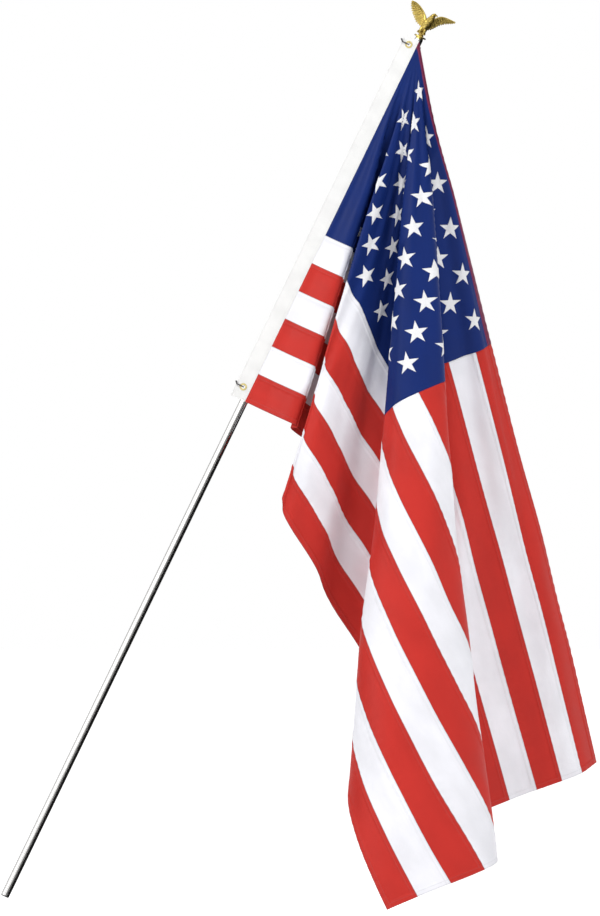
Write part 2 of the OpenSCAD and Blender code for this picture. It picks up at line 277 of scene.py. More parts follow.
def relief(u, v):
    """How far ripples, swells and seam pucker lift the cloth from its smooth drape."""
    sizes = bpy.context.scene.flag_sizes
    reach, a = cloth_angle(u, v)
    height = np.zeros_like(reach)
    upper = ease(reach / RIPPLE_FULL) * (1 - 0.75 * ease((reach - RIPPLE_FADE) / RIPPLE_FADE_RUN))
    calm = 1 - CALM_SHARE * ease((a - CALM_FIRST) / 6) * (1 - ease((a - CALM_LAST) / 5))
    upper, lower = upper * calm, ease((reach - SWELL_FROM) / SWELL_RUN) * calm
    for wave, phase, share in RIPPLES:
        wander = 0.5 * np.sin(reach / 0.21 + phase)
        turn = 2 * np.pi * a / wave + phase + wander
        height += sizes.ripple * share * upper * np.sin(turn + 0.45 * np.sin(turn))
    for wave, phase, run, start in SWELLS:
        wander = 1.3 * np.sin(reach / run + start) + 0.6 * np.sin(reach / (run * 0.43) + phase)
        height += SWELL_HEIGHT * lower * np.sin(2 * np.pi * a / wave + phase + wander) / 3
    seam = np.abs(u / STRIPE - np.round(u / STRIPE)) * STRIPE
    row = np.round(u / STRIPE)
    inside = (u < UNION_STRIPES * STRIPE - STRIPE / 2) & (v < sizes.fly * sizes.union_share)
    seam = np.where(inside & (row > 0), 1.0, seam)
    edge = np.minimum(seam, np.abs(sizes.fly - v))
    along = np.where(seam < np.abs(sizes.fly - v), v, u)
    phase = 2.4 * row + 1.1 * np.sin(along / 0.047 + row) + 0.8 * np.sin(along / 0.019 + 2 * row)
    size = 0.6 + 0.4 * np.sin(along / 0.083 + 1.7 * row)
    pull = np.exp(-((edge / PUCKER_REACH) ** 2)) * ease(v / 0.02) * ease(reach / 0.12)
    height += sizes.pucker * size * pull * np.sin(2 * np.pi * along / PUCKER_WAVE + phase)
    return height * ease(v / 0.03)


def cloth(u, v):
    """Where the cloth's middle layer lies, ripples and pucker included."""
    return draped(u, v) + normals(draped, u, v) * relief(u, v)[..., None]


def steps(first, last, pitch, fine_first=(), fine_last=()):
    """Stations from first to last, with extra ones measured in from each end."""
    low = first + (max(fine_first) if fine_first else 0)
    high = last - (max(fine_last) if fine_last else 0)
    even = np.linspace(low, high, max(int(round((high - low) / pitch)), 1) + 1)
    ends = [first] + [first + f for f in fine_first] + [last - f for f in fine_last] + [last]
    return np.unique(np.round(np.concatenate([even, ends]), 7))


# ---- meshes -----------------------------------------------------------------------------------


def grid_faces(rows, cols, closed=False):
    """Quads of a grid of points, row by row, whose columns may close into a ring."""
    wide = cols if closed else cols - 1
    r, c = np.meshgrid(np.arange(rows - 1), np.arange(wide), indexing="ij")
    a = r * cols + c
    b = r * cols + (c + 1) % cols
    return np.stack([a, b, b + cols, a + cols], -1).reshape(-1, 4)


def border_of(rows, cols):
    """The outer points of a grid, in order round it."""
    top = np.arange(cols)
    right = np.arange(1, rows) * cols + cols - 1
    bottom = (rows - 1) * cols + np.arange(cols - 2, -1, -1)
    left = np.arange(rows - 2, 0, -1) * cols
    return np.concatenate([top, right, bottom, left])


def make_piece(name, points, faces, uv, body, material, layers=None):
    """A smooth mesh piece that rides on a body. uv has a pair, and each layer a value, per point."""
    mesh = bpy.data.meshes.new(name)
    mesh.from_pydata(np.asarray(points, float).tolist(), [], [list(map(int, f)) for f in faces])
    mesh.validate()
    loops = np.zeros(len(mesh.loops), np.int32)
    mesh.loops.foreach_get("vertex_index", loops)
    cut = mesh.uv_layers.new(name="cut")
    cut.data.foreach_set("uv", np.asarray(uv, np.float32)[loops].ravel())
    for layer, values in (layers or {}).items():
        attribute = mesh.attributes.new(layer, "FLOAT", "POINT")
        attribute.data.foreach_set("value", np.asarray(values, np.float32))
    mesh.polygons.foreach_set("use_smooth", [True] * len(mesh.polygons))
    piece = bpy.data.objects.new(name, mesh)
    bpy.context.scene.collection.objects.link(piece)
    fix_normals(mesh)
    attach(piece, body)
    mesh.materials.append(material)
    return piece


def fix_normals(mesh):
    """Turns every face outward."""
    work = bmesh.new()
    work.from_mesh(mesh)
    bmesh.ops.recalc_face_normals(work, faces=work.faces)
    work.to_mesh(mesh)
    work.free()


def shell_faces(count, faces, border):
    """Faces of a closed shell whose front and back layers have count points each."""
    after = np.roll(border, -1)
    shell = [tuple(f) for f in faces]
    shell += [tuple(i + count for i in f[::-1]) for f in faces]
    return shell + [tuple(f) for f in np.stack([border, after, after + count, border + count], -1)]


def closed_shell(front, back, rows, cols):
    """Joins two grids of points along their border."""
    shell = shell_faces(len(front), grid_faces(rows, cols), border_of(rows, cols))
    return np.concatenate([front, back]), shell


SEAM_ROW = 1.4 * MM  # from a seam's edge to its row of stitches
HEM_ROW = 1.5 * MM  # from a hem's edge to its row of stitches
STITCH_DIP, SEAM_GROOVE = 0.16 * MM, 0.20 * MM
SEAM_FRONT, SEAM_BACK = 0.22 * MM, 0.40 * MM  # how much a seam's or hem's layers add


def stitched_layers(u, v):
    """Height of the cloth's front and back over its middle: seams, hems and their stitch dips."""
    sizes = bpy.context.scene.flag_sizes
    half = sizes.cloth_thickness / 2
    front = np.full(np.shape(u), half)
    back = np.full(np.shape(u), half)
    below = u - np.floor(u / STRIPE + 1e-6) * STRIPE
    union = (u < UNION_STRIPES * STRIPE - MM) & (v < sizes.fly * sizes.union_share - MM)
    hem = np.minimum(sizes.fly - v, HOIST - u)
    hem = np.where(u < STRIPE, np.minimum(hem, u), hem)
    felled = (1 - ease((below - sizes.seam_width) / (0.5 * MM))) * ~union
    turned = 1 - ease((hem - sizes.hem_width) / (0.5 * MM))
    thick = np.maximum(felled, turned)
    front += SEAM_FRONT * thick
    back += SEAM_BACK * thick
    for row in (SEAM_ROW, sizes.seam_width - SEAM_ROW):
        dip = np.exp(-(((below - row) / (0.5 * MM)) ** 2)) * ~union
        front -= STITCH_DIP * dip
        back -= STITCH_DIP * dip
    groove = np.exp(-((np.minimum(below, STRIPE - below) / (0.4 * MM)) ** 2)) * ~union
    front -= SEAM_GROOVE * groove * (1 - turned)
    for row in (HEM_ROW, sizes.hem_width - HEM_ROW):
        dip = np.exp(-(((hem - row) / (0.6 * MM)) ** 2))
        front -= 0.15 * MM * dip
        back -= 0.15 * MM * dip
    rim = 0.45 + 0.55 * ease(hem / MM)
    return front * rim, back * rim


def cloth_piece(name, us, vs, material):
    """A closed panel of cloth between the given stations."""
    u, v = np.meshgrid(us, vs, indexing="ij")
    u, v = u.ravel(), v.ravel()
    middle, out = cloth(u, v), normals(cloth, u, v)
    front, back = stitched_layers(u, v)
    points, shell = closed_shell(
        middle + out * front[:, None], middle - out * back[:, None], len(us), len(vs))
    uv = np.tile(np.stack([u, v], -1), (2, 1))
    return make_piece(name, points, shell, uv, "flag", material)


def tube(path, radii, sides=12, flat=1.0):
    """A closed tube along a path. flat squeezes it front to back."""
    path = np.asarray(path, float)
    radii = np.broadcast_to(radii, len(path))
    along = np.gradient(path, axis=0)
    along /= np.linalg.norm(along, axis=1, keepdims=True)
    turn = np.linspace(0, 2 * np.pi, sides, endpoint=False)
    guide = np.array([0.0, 1.0, 0.0])
    across = np.cross(along, guide)
    across /= np.maximum(np.linalg.norm(across, axis=1, keepdims=True), 1e-9)
    deep = np.cross(along, across)
    rings = (path[:, None] + radii[:, None, None] * (
        np.cos(turn)[None, :, None] * across[:, None]
        + flat * np.sin(turn)[None, :, None] * deep[:, None]))
    points = np.concatenate([rings.reshape(-1, 3), path[:1], path[-1:]])
    faces = [tuple(f) for f in grid_faces(len(path), sides, closed=True)]
    first, last = len(points) - 2, len(points) - 1
    base = (len(path) - 1) * sides
    faces += [(first, (k + 1) % sides, k) for k in range(sides)]
    faces += [(last, base + k, base + (k + 1) % sides) for k in range(sides)]
    return points, faces


def curve_through(points, count):
    """Evenly spaced points on a smooth curve through the given ones."""
    points = np.asarray(points, float)
    spans = np.linalg.norm(np.diff(points, axis=0), axis=1)
    knots = np.concatenate([[0], np.cumsum(spans)])
    slopes = np.gradient(points, knots, axis=0)
    at = np.linspace(0, knots[-1], count)
    i = np.clip(np.searchsorted(knots, at, side="right") - 1, 0, len(knots) - 2)
    h = (knots[i + 1] - knots[i])[:, None]
    t = ((at - knots[i]) / h[:, 0])[:, None]
    return ((1 + 2 * t) * (1 - t) ** 2 * points[i] + t * t * (3 - 2 * t) * points[i + 1]
            + h * t * (1 - t) * ((1 - t) * slopes[i] - t * slopes[i + 1]))


class Parts:
    """Gathers several closed meshes into one."""

    def __init__(self):
        self.points, self.faces, self.uv, self.deep, self.count = [], [], [], [], 0

    def add(self, points, faces, uv=None, deep=None):
        """Adds one closed mesh. deep, from 0 to 1, tells how hollow each point lies, and so how much
        painted shade it gets.
        """
        n = len(points)
        self.points.append(np.asarray(points, float))
        self.faces += [tuple(int(i) + self.count for i in f) for f in faces]
        self.uv.append(np.zeros((n, 2)) if uv is None else np.asarray(uv, float))
        self.deep.append(np.zeros(n) if deep is None else np.broadcast_to(deep, n))
        self.count += n

    def piece(self, name, body, slot, material):
        """Makes all that was added into one piece."""
        return make_piece(
            name, np.concatenate(self.points), self.faces, np.concatenate(self.uv), body,
            material, {"deep": np.concatenate(self.deep)})


# ---- shader groups ----------------------------------------------------------------------------


class Nodes:
    """Adds nodes to one material or group. A socket given as a value is linked, a number set."""

    def __init__(self, tree):
        self.tree = tree
        self.across = 0

    def add(self, kind, settings=None, **inputs):
        """A new node. Its inputs are named as on the node, with _ for a space."""
        node = self.tree.nodes.new(kind)
        self.across += 180
        node.location = (self.across, 0)
        for key, value in (settings or {}).items():
            setattr(node, key, value)
        for key, value in inputs.items():
            self.feed(node.inputs[key.replace("_", " ")], value)
        return node

    def feed(self, socket, value):
        """Links another node's socket, or sets a plain value."""
        if isinstance(value, bpy.types.NodeSocket):
            self.tree.links.new(value, socket)
        elif socket.type == "RGBA" and len(value) == 3:
            socket.default_value = (*value, 1)
        else:
            socket.default_value = value

    def math(self, operation, *values):
        """The result of one Math node."""
        node = self.add("ShaderNodeMath", {"operation": operation})
        for socket, value in zip(node.inputs, values):
            self.feed(socket, value)
        return node.outputs[0]

    def times(self, a, b):
        """One value times another."""
        return self.math("MULTIPLY", a, b)

    def plus(self, a, b):
        """One value plus another."""
        return self.math("ADD", a, b)

    def ramp(self, value, low, high, to_low=0.0, to_high=1.0):
        """A smooth change from to_low to to_high while the value goes from low to high."""
        node = self.add("ShaderNodeMapRange", {"interpolation_type": "SMOOTHSTEP"})
        for socket, number in zip(node.inputs, (value, low, high, to_low, to_high)):
            self.feed(socket, number)
        return node.outputs[0]

    def mix(self, share, a, b):
        """Colour a where the share is 0, and b where it is 1."""
        node = self.add("ShaderNodeMix", {"data_type": "RGBA"})
        self.feed(node.inputs[0], share)
        self.feed(node.inputs[6], a)
        self.feed(node.inputs[7], b)
        return node.outputs[2]

    def noise(self, vector, scale, detail=2.0, roughness=0.5):
        """A noise value at a place."""
        node = self.add("ShaderNodeTexNoise", Vector=vector, Scale=scale, Detail=detail,
                        Roughness=roughness)
        return node.outputs["Fac"]

    def stretched(self, vector, scale, turn=(0, 0, 0)):
        """A place turned and stretched."""
        node = self.add("ShaderNodeMapping", Vector=vector, Scale=scale, Rotation=turn)
        return node.outputs[0]

    def group(self, make, **inputs):
        """The outputs of a shader group, which is built when it is first used."""
        return self.add("ShaderNodeGroup", {"node_tree": make()}, **inputs).outputs


def shader_group(name, inputs, outputs):
    """A new node group with named sockets, or None and the group if it is already there."""
    if name in bpy.data.node_groups:
        return None, None, bpy.data.node_groups[name]
    tree = bpy.data.node_groups.new(name, "ShaderNodeTree")
    for label, kind in inputs:
        tree.interface.new_socket(name=label, in_out="INPUT", socket_type=kind)
    for label, kind in outputs:
        tree.interface.new_socket(name=label, in_out="OUTPUT", socket_type=kind)
    nodes = Nodes(tree)
    return nodes, nodes.add("NodeGroupInput").outputs, tree


FLOAT, VECTOR = "NodeSocketFloat", "NodeSocketVector"


def plain_weave():
    """Crossing threads: their height, and a mask of the hollows between them, for painted shade."""
    nodes, given, tree = shader_group(
        "Plain weave", [("Across", FLOAT), ("Along", FLOAT), ("Pitch", FLOAT)],
        [("Height", FLOAT), ("Hollow", FLOAT)])
    if nodes:
        rows = nodes.math("DIVIDE", given["Across"], given["Pitch"])
        columns = nodes.math("DIVIDE", given["Along"], given["Pitch"])
        warp = nodes.math("SINE", nodes.times(rows, math.pi))
        weft = nodes.math("SINE", nodes.times(columns, math.pi))
        height = nodes.times(warp, weft)
        end = nodes.add("NodeGroupOutput")
        nodes.feed(end.inputs["Height"], height)
        nodes.feed(end.inputs["Hollow"], nodes.ramp(nodes.math("ABSOLUTE", height), 0.0, 0.45, 1, 0))
    return tree


def stitch_row():
    """One row of stitches at a set distance from an edge, as a mask of the thread."""
    nodes, given, tree = shader_group(
        "Stitch row",
        [("Distance", FLOAT), ("Along", FLOAT), ("Row", FLOAT), ("Pitch", FLOAT), ("Width", FLOAT)],
        [("Thread", FLOAT)])
    if nodes:
        off = nodes.math("ABSOLUTE", nodes.math("SUBTRACT", given["Distance"], given["Row"]))
        share = nodes.math("DIVIDE", off, given["Width"])
        line = nodes.ramp(share, 0.35, 1.0, 1, 0)
        beat = nodes.math("FRACT", nodes.math("DIVIDE", given["Along"], given["Pitch"]))
        ends = nodes.math("ABSOLUTE", nodes.math("SUBTRACT", beat, 0.5))
        dash = nodes.ramp(ends, 0.34, 0.46, 1, 0)
        end = nodes.add("NodeGroupOutput")
        nodes.feed(end.inputs["Thread"], nodes.times(line, dash))
    return tree


def soft_rumple():
    """Faint creases of handled cloth, and a tone that is darker where they sink and lighter where they
    rise.
    """
    nodes, given, tree = shader_group(
        "Soft rumple", [("Place", VECTOR), ("Size", FLOAT)], [("Height", FLOAT), ("Tone", FLOAT)])
    if nodes:
        scale = nodes.math("DIVIDE", 1.0, given["Size"])
        broad = nodes.noise(nodes.stretched(given["Place"], (1, 0.45, 1)), scale, 3, 0.5)
        fine = nodes.noise(given["Place"], nodes.times(scale, 5.5), 3, 0.6)
        end = nodes.add("NodeGroupOutput")
        nodes.feed(end.inputs["Height"], nodes.plus(broad, nodes.times(fine, 0.2)))
        nodes.feed(end.inputs["Tone"], nodes.ramp(broad, 0.3, 0.7))
    return tree


def handled_metal():
    """Smudges, fine scratches and tarnish on metal."""
    nodes, given, tree = shader_group(
        "Handled metal", [("Place", VECTOR), ("Grain", VECTOR)],
        [("Smudge", FLOAT), ("Scratch", FLOAT), ("Tarnish", FLOAT)])
    if nodes:
        smudge = nodes.noise(given["Place"], 45, 4, 0.6)
        lines = nodes.noise(given["Grain"], 1.0, 4, 0.7)
        tarnish = nodes.noise(given["Place"], 190, 5, 0.65)
        end = nodes.add("NodeGroupOutput")
        nodes.feed(end.inputs["Smudge"], nodes.ramp(smudge, 0.35, 0.7))
        nodes.feed(end.inputs["Scratch"], lines)
        nodes.feed(end.inputs["Tarnish"], nodes.ramp(tarnish, 0.45, 0.75))
    return tree


# ---- materials --------------------------------------------------------------------------------


def new_material(name):
    """A material with its shader linked to its output."""
    material = bpy.data.materials.new(name)
    material.use_nodes = True
    material.node_tree.nodes.clear()
    nodes = Nodes(material.node_tree)
    shader = nodes.add("ShaderNodeBsdfPrincipled")
    end = nodes.add("ShaderNodeOutputMaterial")
    nodes.tree.links.new(shader.outputs[0], end.inputs[0])
    return material, nodes, shader


def finish_shader(nodes, shader, plain, colour=None, roughness=None, height=None, depth=MM):
    """Sets the plain values, then links what changes over the surface."""
    for key, value in plain.items():
        nodes.feed(shader.inputs[key], value)
    if colour is not None:
        nodes.feed(shader.inputs["Base Color"], colour)
    if roughness is not None:
        nodes.feed(shader.inputs["Roughness"], roughness)
    if height is not None:
        bump = nodes.add("ShaderNodeBump", Height=height, Distance=depth, Strength=1.0)
        nodes.feed(shader.inputs["Normal"], bump.outputs[0])


def cut_place(nodes):
    """Where a point lies on the flat cut: the vector, down the hoist, and along the fly."""
    place = nodes.add("ShaderNodeUVMap", {"uv_map": "cut"}).outputs[0]
    parts = nodes.add("ShaderNodeSeparateXYZ", Vector=place).outputs
    return place, parts[0], parts[1]


def scaled(colour, share):
    """A colour made lighter or darker, no lighter than white."""
    return tuple(min(c * share, 1) for c in colour)


def seam_threads(nodes, u, v, union_side):
    """Masks of all seam and hem threads, and of the line of painted shadow and dust in each seam."""
    sizes = bpy.context.scene.flag_sizes
    pitch, width = sizes.stitch_pitch, 0.55 * MM
    below = nodes.times(nodes.math("FRACT", nodes.math("DIVIDE", u, STRIPE)), STRIPE)
    fly_edge = nodes.math("SUBTRACT", sizes.fly, v)
    hoist_edge = nodes.math("SUBTRACT", HOIST, u)
    rows = []
    if not union_side:
        rows += [(below, v, SEAM_ROW), (below, v, sizes.seam_width - SEAM_ROW)]
    for edge, along in ((fly_edge, u), (hoist_edge, v), (u, v)):
        rows += [(edge, along, HEM_ROW), (edge, along, sizes.hem_width - HEM_ROW)]
    threads = [nodes.group(stitch_row, Distance=edge, Along=along, Row=row, Pitch=pitch,
                           Width=width)["Thread"] for edge, along, row in rows]
    thread = threads[0]
    for other in threads[1:]:
        thread = nodes.math("MAXIMUM", thread, other)
    if union_side:
        to_seam = nodes.math("ABSOLUTE", nodes.math("SUBTRACT", UNION_STRIPES * STRIPE, u))
    else:
        to_seam = nodes.math("MINIMUM", below, nodes.math("SUBTRACT", STRIPE, below))
    # painted shadow and dust along the seam line
    seam = nodes.ramp(to_seam, 0.1 * MM, 1.3 * MM, 1, 0)
    return thread, seam


def cloth_material(name, colour, union_side=False, tape=None, deep=0.55, seam_dust_and_shadow=0.5):
    """Nylon flag cloth: plain weave with painted shade in its hollows, faint rumple with a tone darker
    where it sinks, seam lines of painted shadow and dust, and stitches.
    """
    sizes = bpy.context.scene.flag_sizes
    material, nodes, shader = new_material(name)
    place, u, v = cut_place(nodes)
    weave = nodes.group(plain_weave, Across=u, Along=v, Pitch=sizes.weave_pitch)
    rumple = nodes.group(soft_rumple, Place=place, Size=0.055)
    thread, seam = seam_threads(nodes, u, v, union_side)
    # a tone that is darker where the rumple sinks and lighter where it rises
    tone = nodes.mix(rumple["Tone"], scaled(colour, 0.93), scaled(colour, 1.06))
    # painted shade in the hollows of the weave
    tone = nodes.mix(nodes.times(weave["Hollow"], 0.45), tone, scaled(colour, deep))
    if tape:
        edge = nodes.ramp(u, sizes.tape_width - 0.4 * MM, sizes.tape_width + 0.4 * MM, 1, 0)
        tone = nodes.mix(edge, tone, tape)
        line = nodes.ramp(nodes.math("ABSOLUTE", nodes.math("SUBTRACT", u, 0.45 * sizes.tape_width)),
                          0.8 * MM, 1.6 * MM, 0.7, 0)
        tone = nodes.mix(line, tone, scaled(tape, 0.25))
    # painted seam shadow and dust
    tone = nodes.mix(nodes.times(seam, seam_dust_and_shadow), tone, scaled(colour, 0.35))
    thread_colour = scaled(tape, 2.2) if tape else tuple(0.7 * c + 0.06 for c in colour)
    tone = nodes.mix(nodes.times(thread, 0.75), tone, thread_colour)
    height = nodes.plus(nodes.times(rumple["Height"], 0.9), nodes.times(weave["Height"], 0.035))
    height = nodes.plus(height, nodes.times(thread, 0.22))
    roughness = nodes.ramp(rumple["Tone"], 0, 1, 0.44, 0.56)
    finish_shader(nodes, shader, {"Specular IOR Level": 0.14}, tone, roughness, height)
    return material


def canvas_material():
    """Heavy white canvas with a coarse weave and a little slub."""
    colour = tuple(bpy.context.scene.flag_colours.canvas)
    material, nodes, shader = new_material("header canvas")
    place, u, v = cut_place(nodes)
    weave = nodes.group(plain_weave, Across=u, Along=v, Pitch=CANVAS_PITCH)
    rumple = nodes.group(soft_rumple, Place=place, Size=0.03)
    slub = nodes.noise(nodes.stretched(place, (900, 40, 1)), 1.0, 3, 0.6)
    # a tone that is darker where the rumple sinks and lighter where it rises
    tone = nodes.mix(rumple["Tone"], scaled(colour, 0.95), scaled(colour, 1.03))
    # painted shade in the hollows of the weave
    tone = nodes.mix(nodes.times(weave["Hollow"], 0.5), tone, scaled(colour, 0.72))
    tone = nodes.mix(nodes.ramp(slub, 0.62, 0.8, 0, 0.35), tone, scaled(colour, 0.8))
    height = nodes.plus(nodes.times(rumple["Height"], 0.5), nodes.times(weave["Height"], 0.09))
    finish_shader(nodes, shader, {"Specular IOR Level": 0.25}, tone,
                  nodes.ramp(slub, 0.3, 0.7, 0.72, 0.88), height)
    return material


def star_material():
    """Satin embroidery: threads side by side across each arm of a star."""
    colour = tuple(bpy.context.scene.flag_colours.star)
    material, nodes, shader = new_material("star embroidery")
    place, _, along = cut_place(nodes)
    wobble = nodes.times(nodes.noise(place, 300, 2), 0.25 * MM)
    line = nodes.math("DIVIDE", nodes.plus(along, wobble), 0.6 * MM)
    threads = nodes.math("SINE", nodes.times(line, 2 * math.pi))
    # painted shade in the grooves between the satin threads
    hollow = nodes.ramp(threads, -1.0, -0.2, 1, 0)
    tone = nodes.mix(nodes.times(hollow, 0.5), colour, scaled(colour, 0.70))
    # painted shade round the star's rim, from the deep attribute
    rim = nodes.ramp(nodes.add("ShaderNodeAttribute", {"attribute_name": "deep"}).outputs["Fac"],
                     0.0, 1.0, 0, 0.35)
    tone = nodes.mix(rim, tone, scaled(colour, 0.62))
    height = nodes.times(threads, 0.07)
    finish_shader(nodes, shader, {"Specular IOR Level": 0.4, "Sheen Weight": 0.1}, tone,
                  nodes.ramp(threads, -1, 1, 0.62, 0.42), height)
    return material


def thread_material(name, colour):
    """Twisted sewing thread."""
    material, nodes, shader = new_material(name)
    _, along, round_it = cut_place(nodes)
    twist = nodes.plus(nodes.times(along, 2 * math.pi / (0.7 * MM)), round_it)
    ply = nodes.math("SINE", twist)
    # painted shade in the grooves of the twist
    tone = nodes.mix(nodes.ramp(ply, -1, 0.2, 0.6, 0), colour, scaled(colour, 0.55))
    finish_shader(nodes, shader, {"Sheen Weight": 0.2}, tone,
                  nodes.ramp(ply, -1, 1, 0.75, 0.5), nodes.times(ply, 0.05))
    return material


def metal_place(nodes, grain):
    """Places on a CAD metal part: in the pole's own frame, and stretched along its grain."""
    place = nodes.add("ShaderNodeTexCoord").outputs["Object"]
    place = nodes.stretched(place, (1, 1, 1), (0, -LEAN, 0))
    return place, nodes.stretched(place, grain)


def metal_material(name, colour, dull, roughness, grain=(900, 900, 14), wear=0.25, bump=0.006):
    """Metal with smudges, fine scratches along its grain and some tarnish."""
    material, nodes, shader = new_material(name)
    place, lines = metal_place(nodes, grain)
    marks = nodes.group(handled_metal, Place=place, Grain=lines)
    tone = nodes.mix(nodes.times(marks["Tarnish"], wear), colour, dull)
    rough = nodes.plus(nodes.times(marks["Smudge"], roughness * 0.45), roughness * 0.8)
    rough = nodes.plus(rough, nodes.times(marks["Tarnish"], wear * 0.25))
    finish_shader(nodes, shader, {"Metallic": 1.0}, tone, rough,
                  nodes.times(marks["Scratch"], bump))
    return material


def gilt_material(name, feathered):
    """Gilding with random tarnish; when feathered, painted shade turns it brown in the hollows and
    between the feather barbs.
    """
    finial = bpy.context.scene.finial_sizes
    material, nodes, shader = new_material(name)
    place, lines = metal_place(nodes, (300, 300, 300))
    marks = nodes.group(handled_metal, Place=place, Grain=lines)
    colour, tarnish_and_shade = tuple(finial.gilt), tuple(finial.tarnish_and_shade)
    tone = nodes.mix(nodes.times(marks["Tarnish"], 0.35), colour, tarnish_and_shade)
    height = nodes.times(marks["Scratch"], 0.03)
    if feathered:
        deep = nodes.add("ShaderNodeAttribute", {"attribute_name": "deep"}).outputs["Fac"]
        _, across, along = cut_place(nodes)
        slant = nodes.plus(along, nodes.times(nodes.math("ABSOLUTE", across), 1.1))
        barbs = nodes.math("SINE", nodes.times(slant, 2 * math.pi / (0.75 * MM)))
        # painted shade: the hollows, told by the deep attribute, turn dark
        tone = nodes.mix(nodes.ramp(deep, 0.08, 0.75, 0, 0.92), tone, tarnish_and_shade)
        # painted shade in the grooves between the feather barbs
        tone = nodes.mix(nodes.ramp(barbs, -1, 0, 0.35, 0), tone, tarnish_and_shade)
        height = nodes.plus(height, nodes.times(barbs, 0.06))
    rough = nodes.ramp(marks["Smudge"], 0, 1, 0.22, 0.36)
    finish_shader(nodes, shader, {"Metallic": 1.0}, tone, rough, height)
    return material


def plastic_material():
    """Dark moulded plastic with a fine grain and scuffs."""
    material, nodes, shader = new_material("plug plastic")
    place, lines = metal_place(nodes, (1500, 1500, 1500))
    marks = nodes.group(handled_metal, Place=place, Grain=lines)
    tone = nodes.mix(marks["Tarnish"], (0.035, 0.035, 0.038), (0.075, 0.073, 0.07))
    finish_shader(nodes, shader, {"Specular IOR Level": 0.4}, tone,
                  nodes.ramp(marks["Smudge"], 0, 1, 0.45, 0.65),
                  nodes.times(marks["Scratch"], 0.05))
    return material


# ---- pieces -----------------------------------------------------------------------------------


def dress(node, material):
    """Gives a CAD node its finish."""
    mesh = frame["nodes"][node].data
    mesh.materials.clear()
    mesh.materials.append(material)


class POLEFLAG_OT_metalwork(bpy.types.Operator):
    """Finish the pole, its plug and bush, the clips, grommets and washers"""

    bl_idname = "poleflag.metalwork"
    bl_label = "Finish the Pole and Fittings"

    def execute(self, context):
        steel = metal_material("polished steel", (0.80, 0.79, 0.775), (0.42, 0.39, 0.36), 0.14,
                               wear=0.15, bump=0.0010)
        brass = metal_material("grommet brass", (0.78, 0.66, 0.30), (0.32, 0.24, 0.08), 0.20,
                               (500, 500, 500), 0.45)
        wire = metal_material("clip wire", (0.10, 0.095, 0.10), (0.03, 0.025, 0.025), 0.34,
                              (700, 700, 700), 0.5, 0.01)
        gilt = gilt_material("plain gilt", False)
        plastic = plastic_material()
        finishes = {
            "lower_tube": steel, "upper_tube": steel, "foot_plug": plastic, "top_bush": gilt,
            "finial_base": gilt, "finial_stud": brass, "upper_clip": wire, "lower_clip": wire,
            "upper_grommet": brass, "lower_grommet": brass, "upper_washer": brass,
            "lower_washer": brass,
        }
        for node, material in finishes.items():
            dress(node, material)
        return {"FINISHED"}


EYELET_RADIUS = 4.3 * MM
EYELET_CLEAR = 8 * MM  # from an eyelet's middle to the nearest stitch
HEADER_WAVE = 0.22 * MM
THREAD_RADIUS = 0.26 * MM
CANVAS_PITCH = 0.9 * MM


def header_layers(x, s):
    """Half thickness of the canvas header over its width and length."""
    edge = np.minimum.reduce([x - HEADER_LOW[0], HEADER_HIGH[0] - x,
                              s - HEADER_LOW[2], HEADER_HIGH[2] - s])
    half = HEADER_HALF * (0.55 + 0.4 * np.sqrt(np.clip(edge / (1.0 * MM), 0, 1)))
    for row in header_rows():
        half = half - 0.16 * MM * np.exp(-(((x - row) / (0.6 * MM)) ** 2))
    turned = ease((x - HEADER_LOW[0] - 7 * MM) / (0.5 * MM))
    return half - 0.08 * MM * turned * (edge > 1.2 * MM)


def header_wave(x, s):
    """How far the header waves back and forth, flat at its seam and round its grommets."""
    wave = HEADER_WAVE * np.sin(s / 0.031 + 2 * np.sin(s / 0.11)) * ease(
        (HEADER_HIGH[0] - x) / (8 * MM))
    for low, high in GROMMETS:
        near = np.abs(s - (low[2] + high[2]) / 2)
        wave = wave * ease((near - 9 * MM) / (20 * MM))
    return wave


def header_rows():
    """Where the rows of stitches run, across the header."""
    return (HEADER_HIGH[0] - 1.8 * MM, HEADER_HIGH[0] - 5.2 * MM, HEADER_LOW[0] + 2.2 * MM)


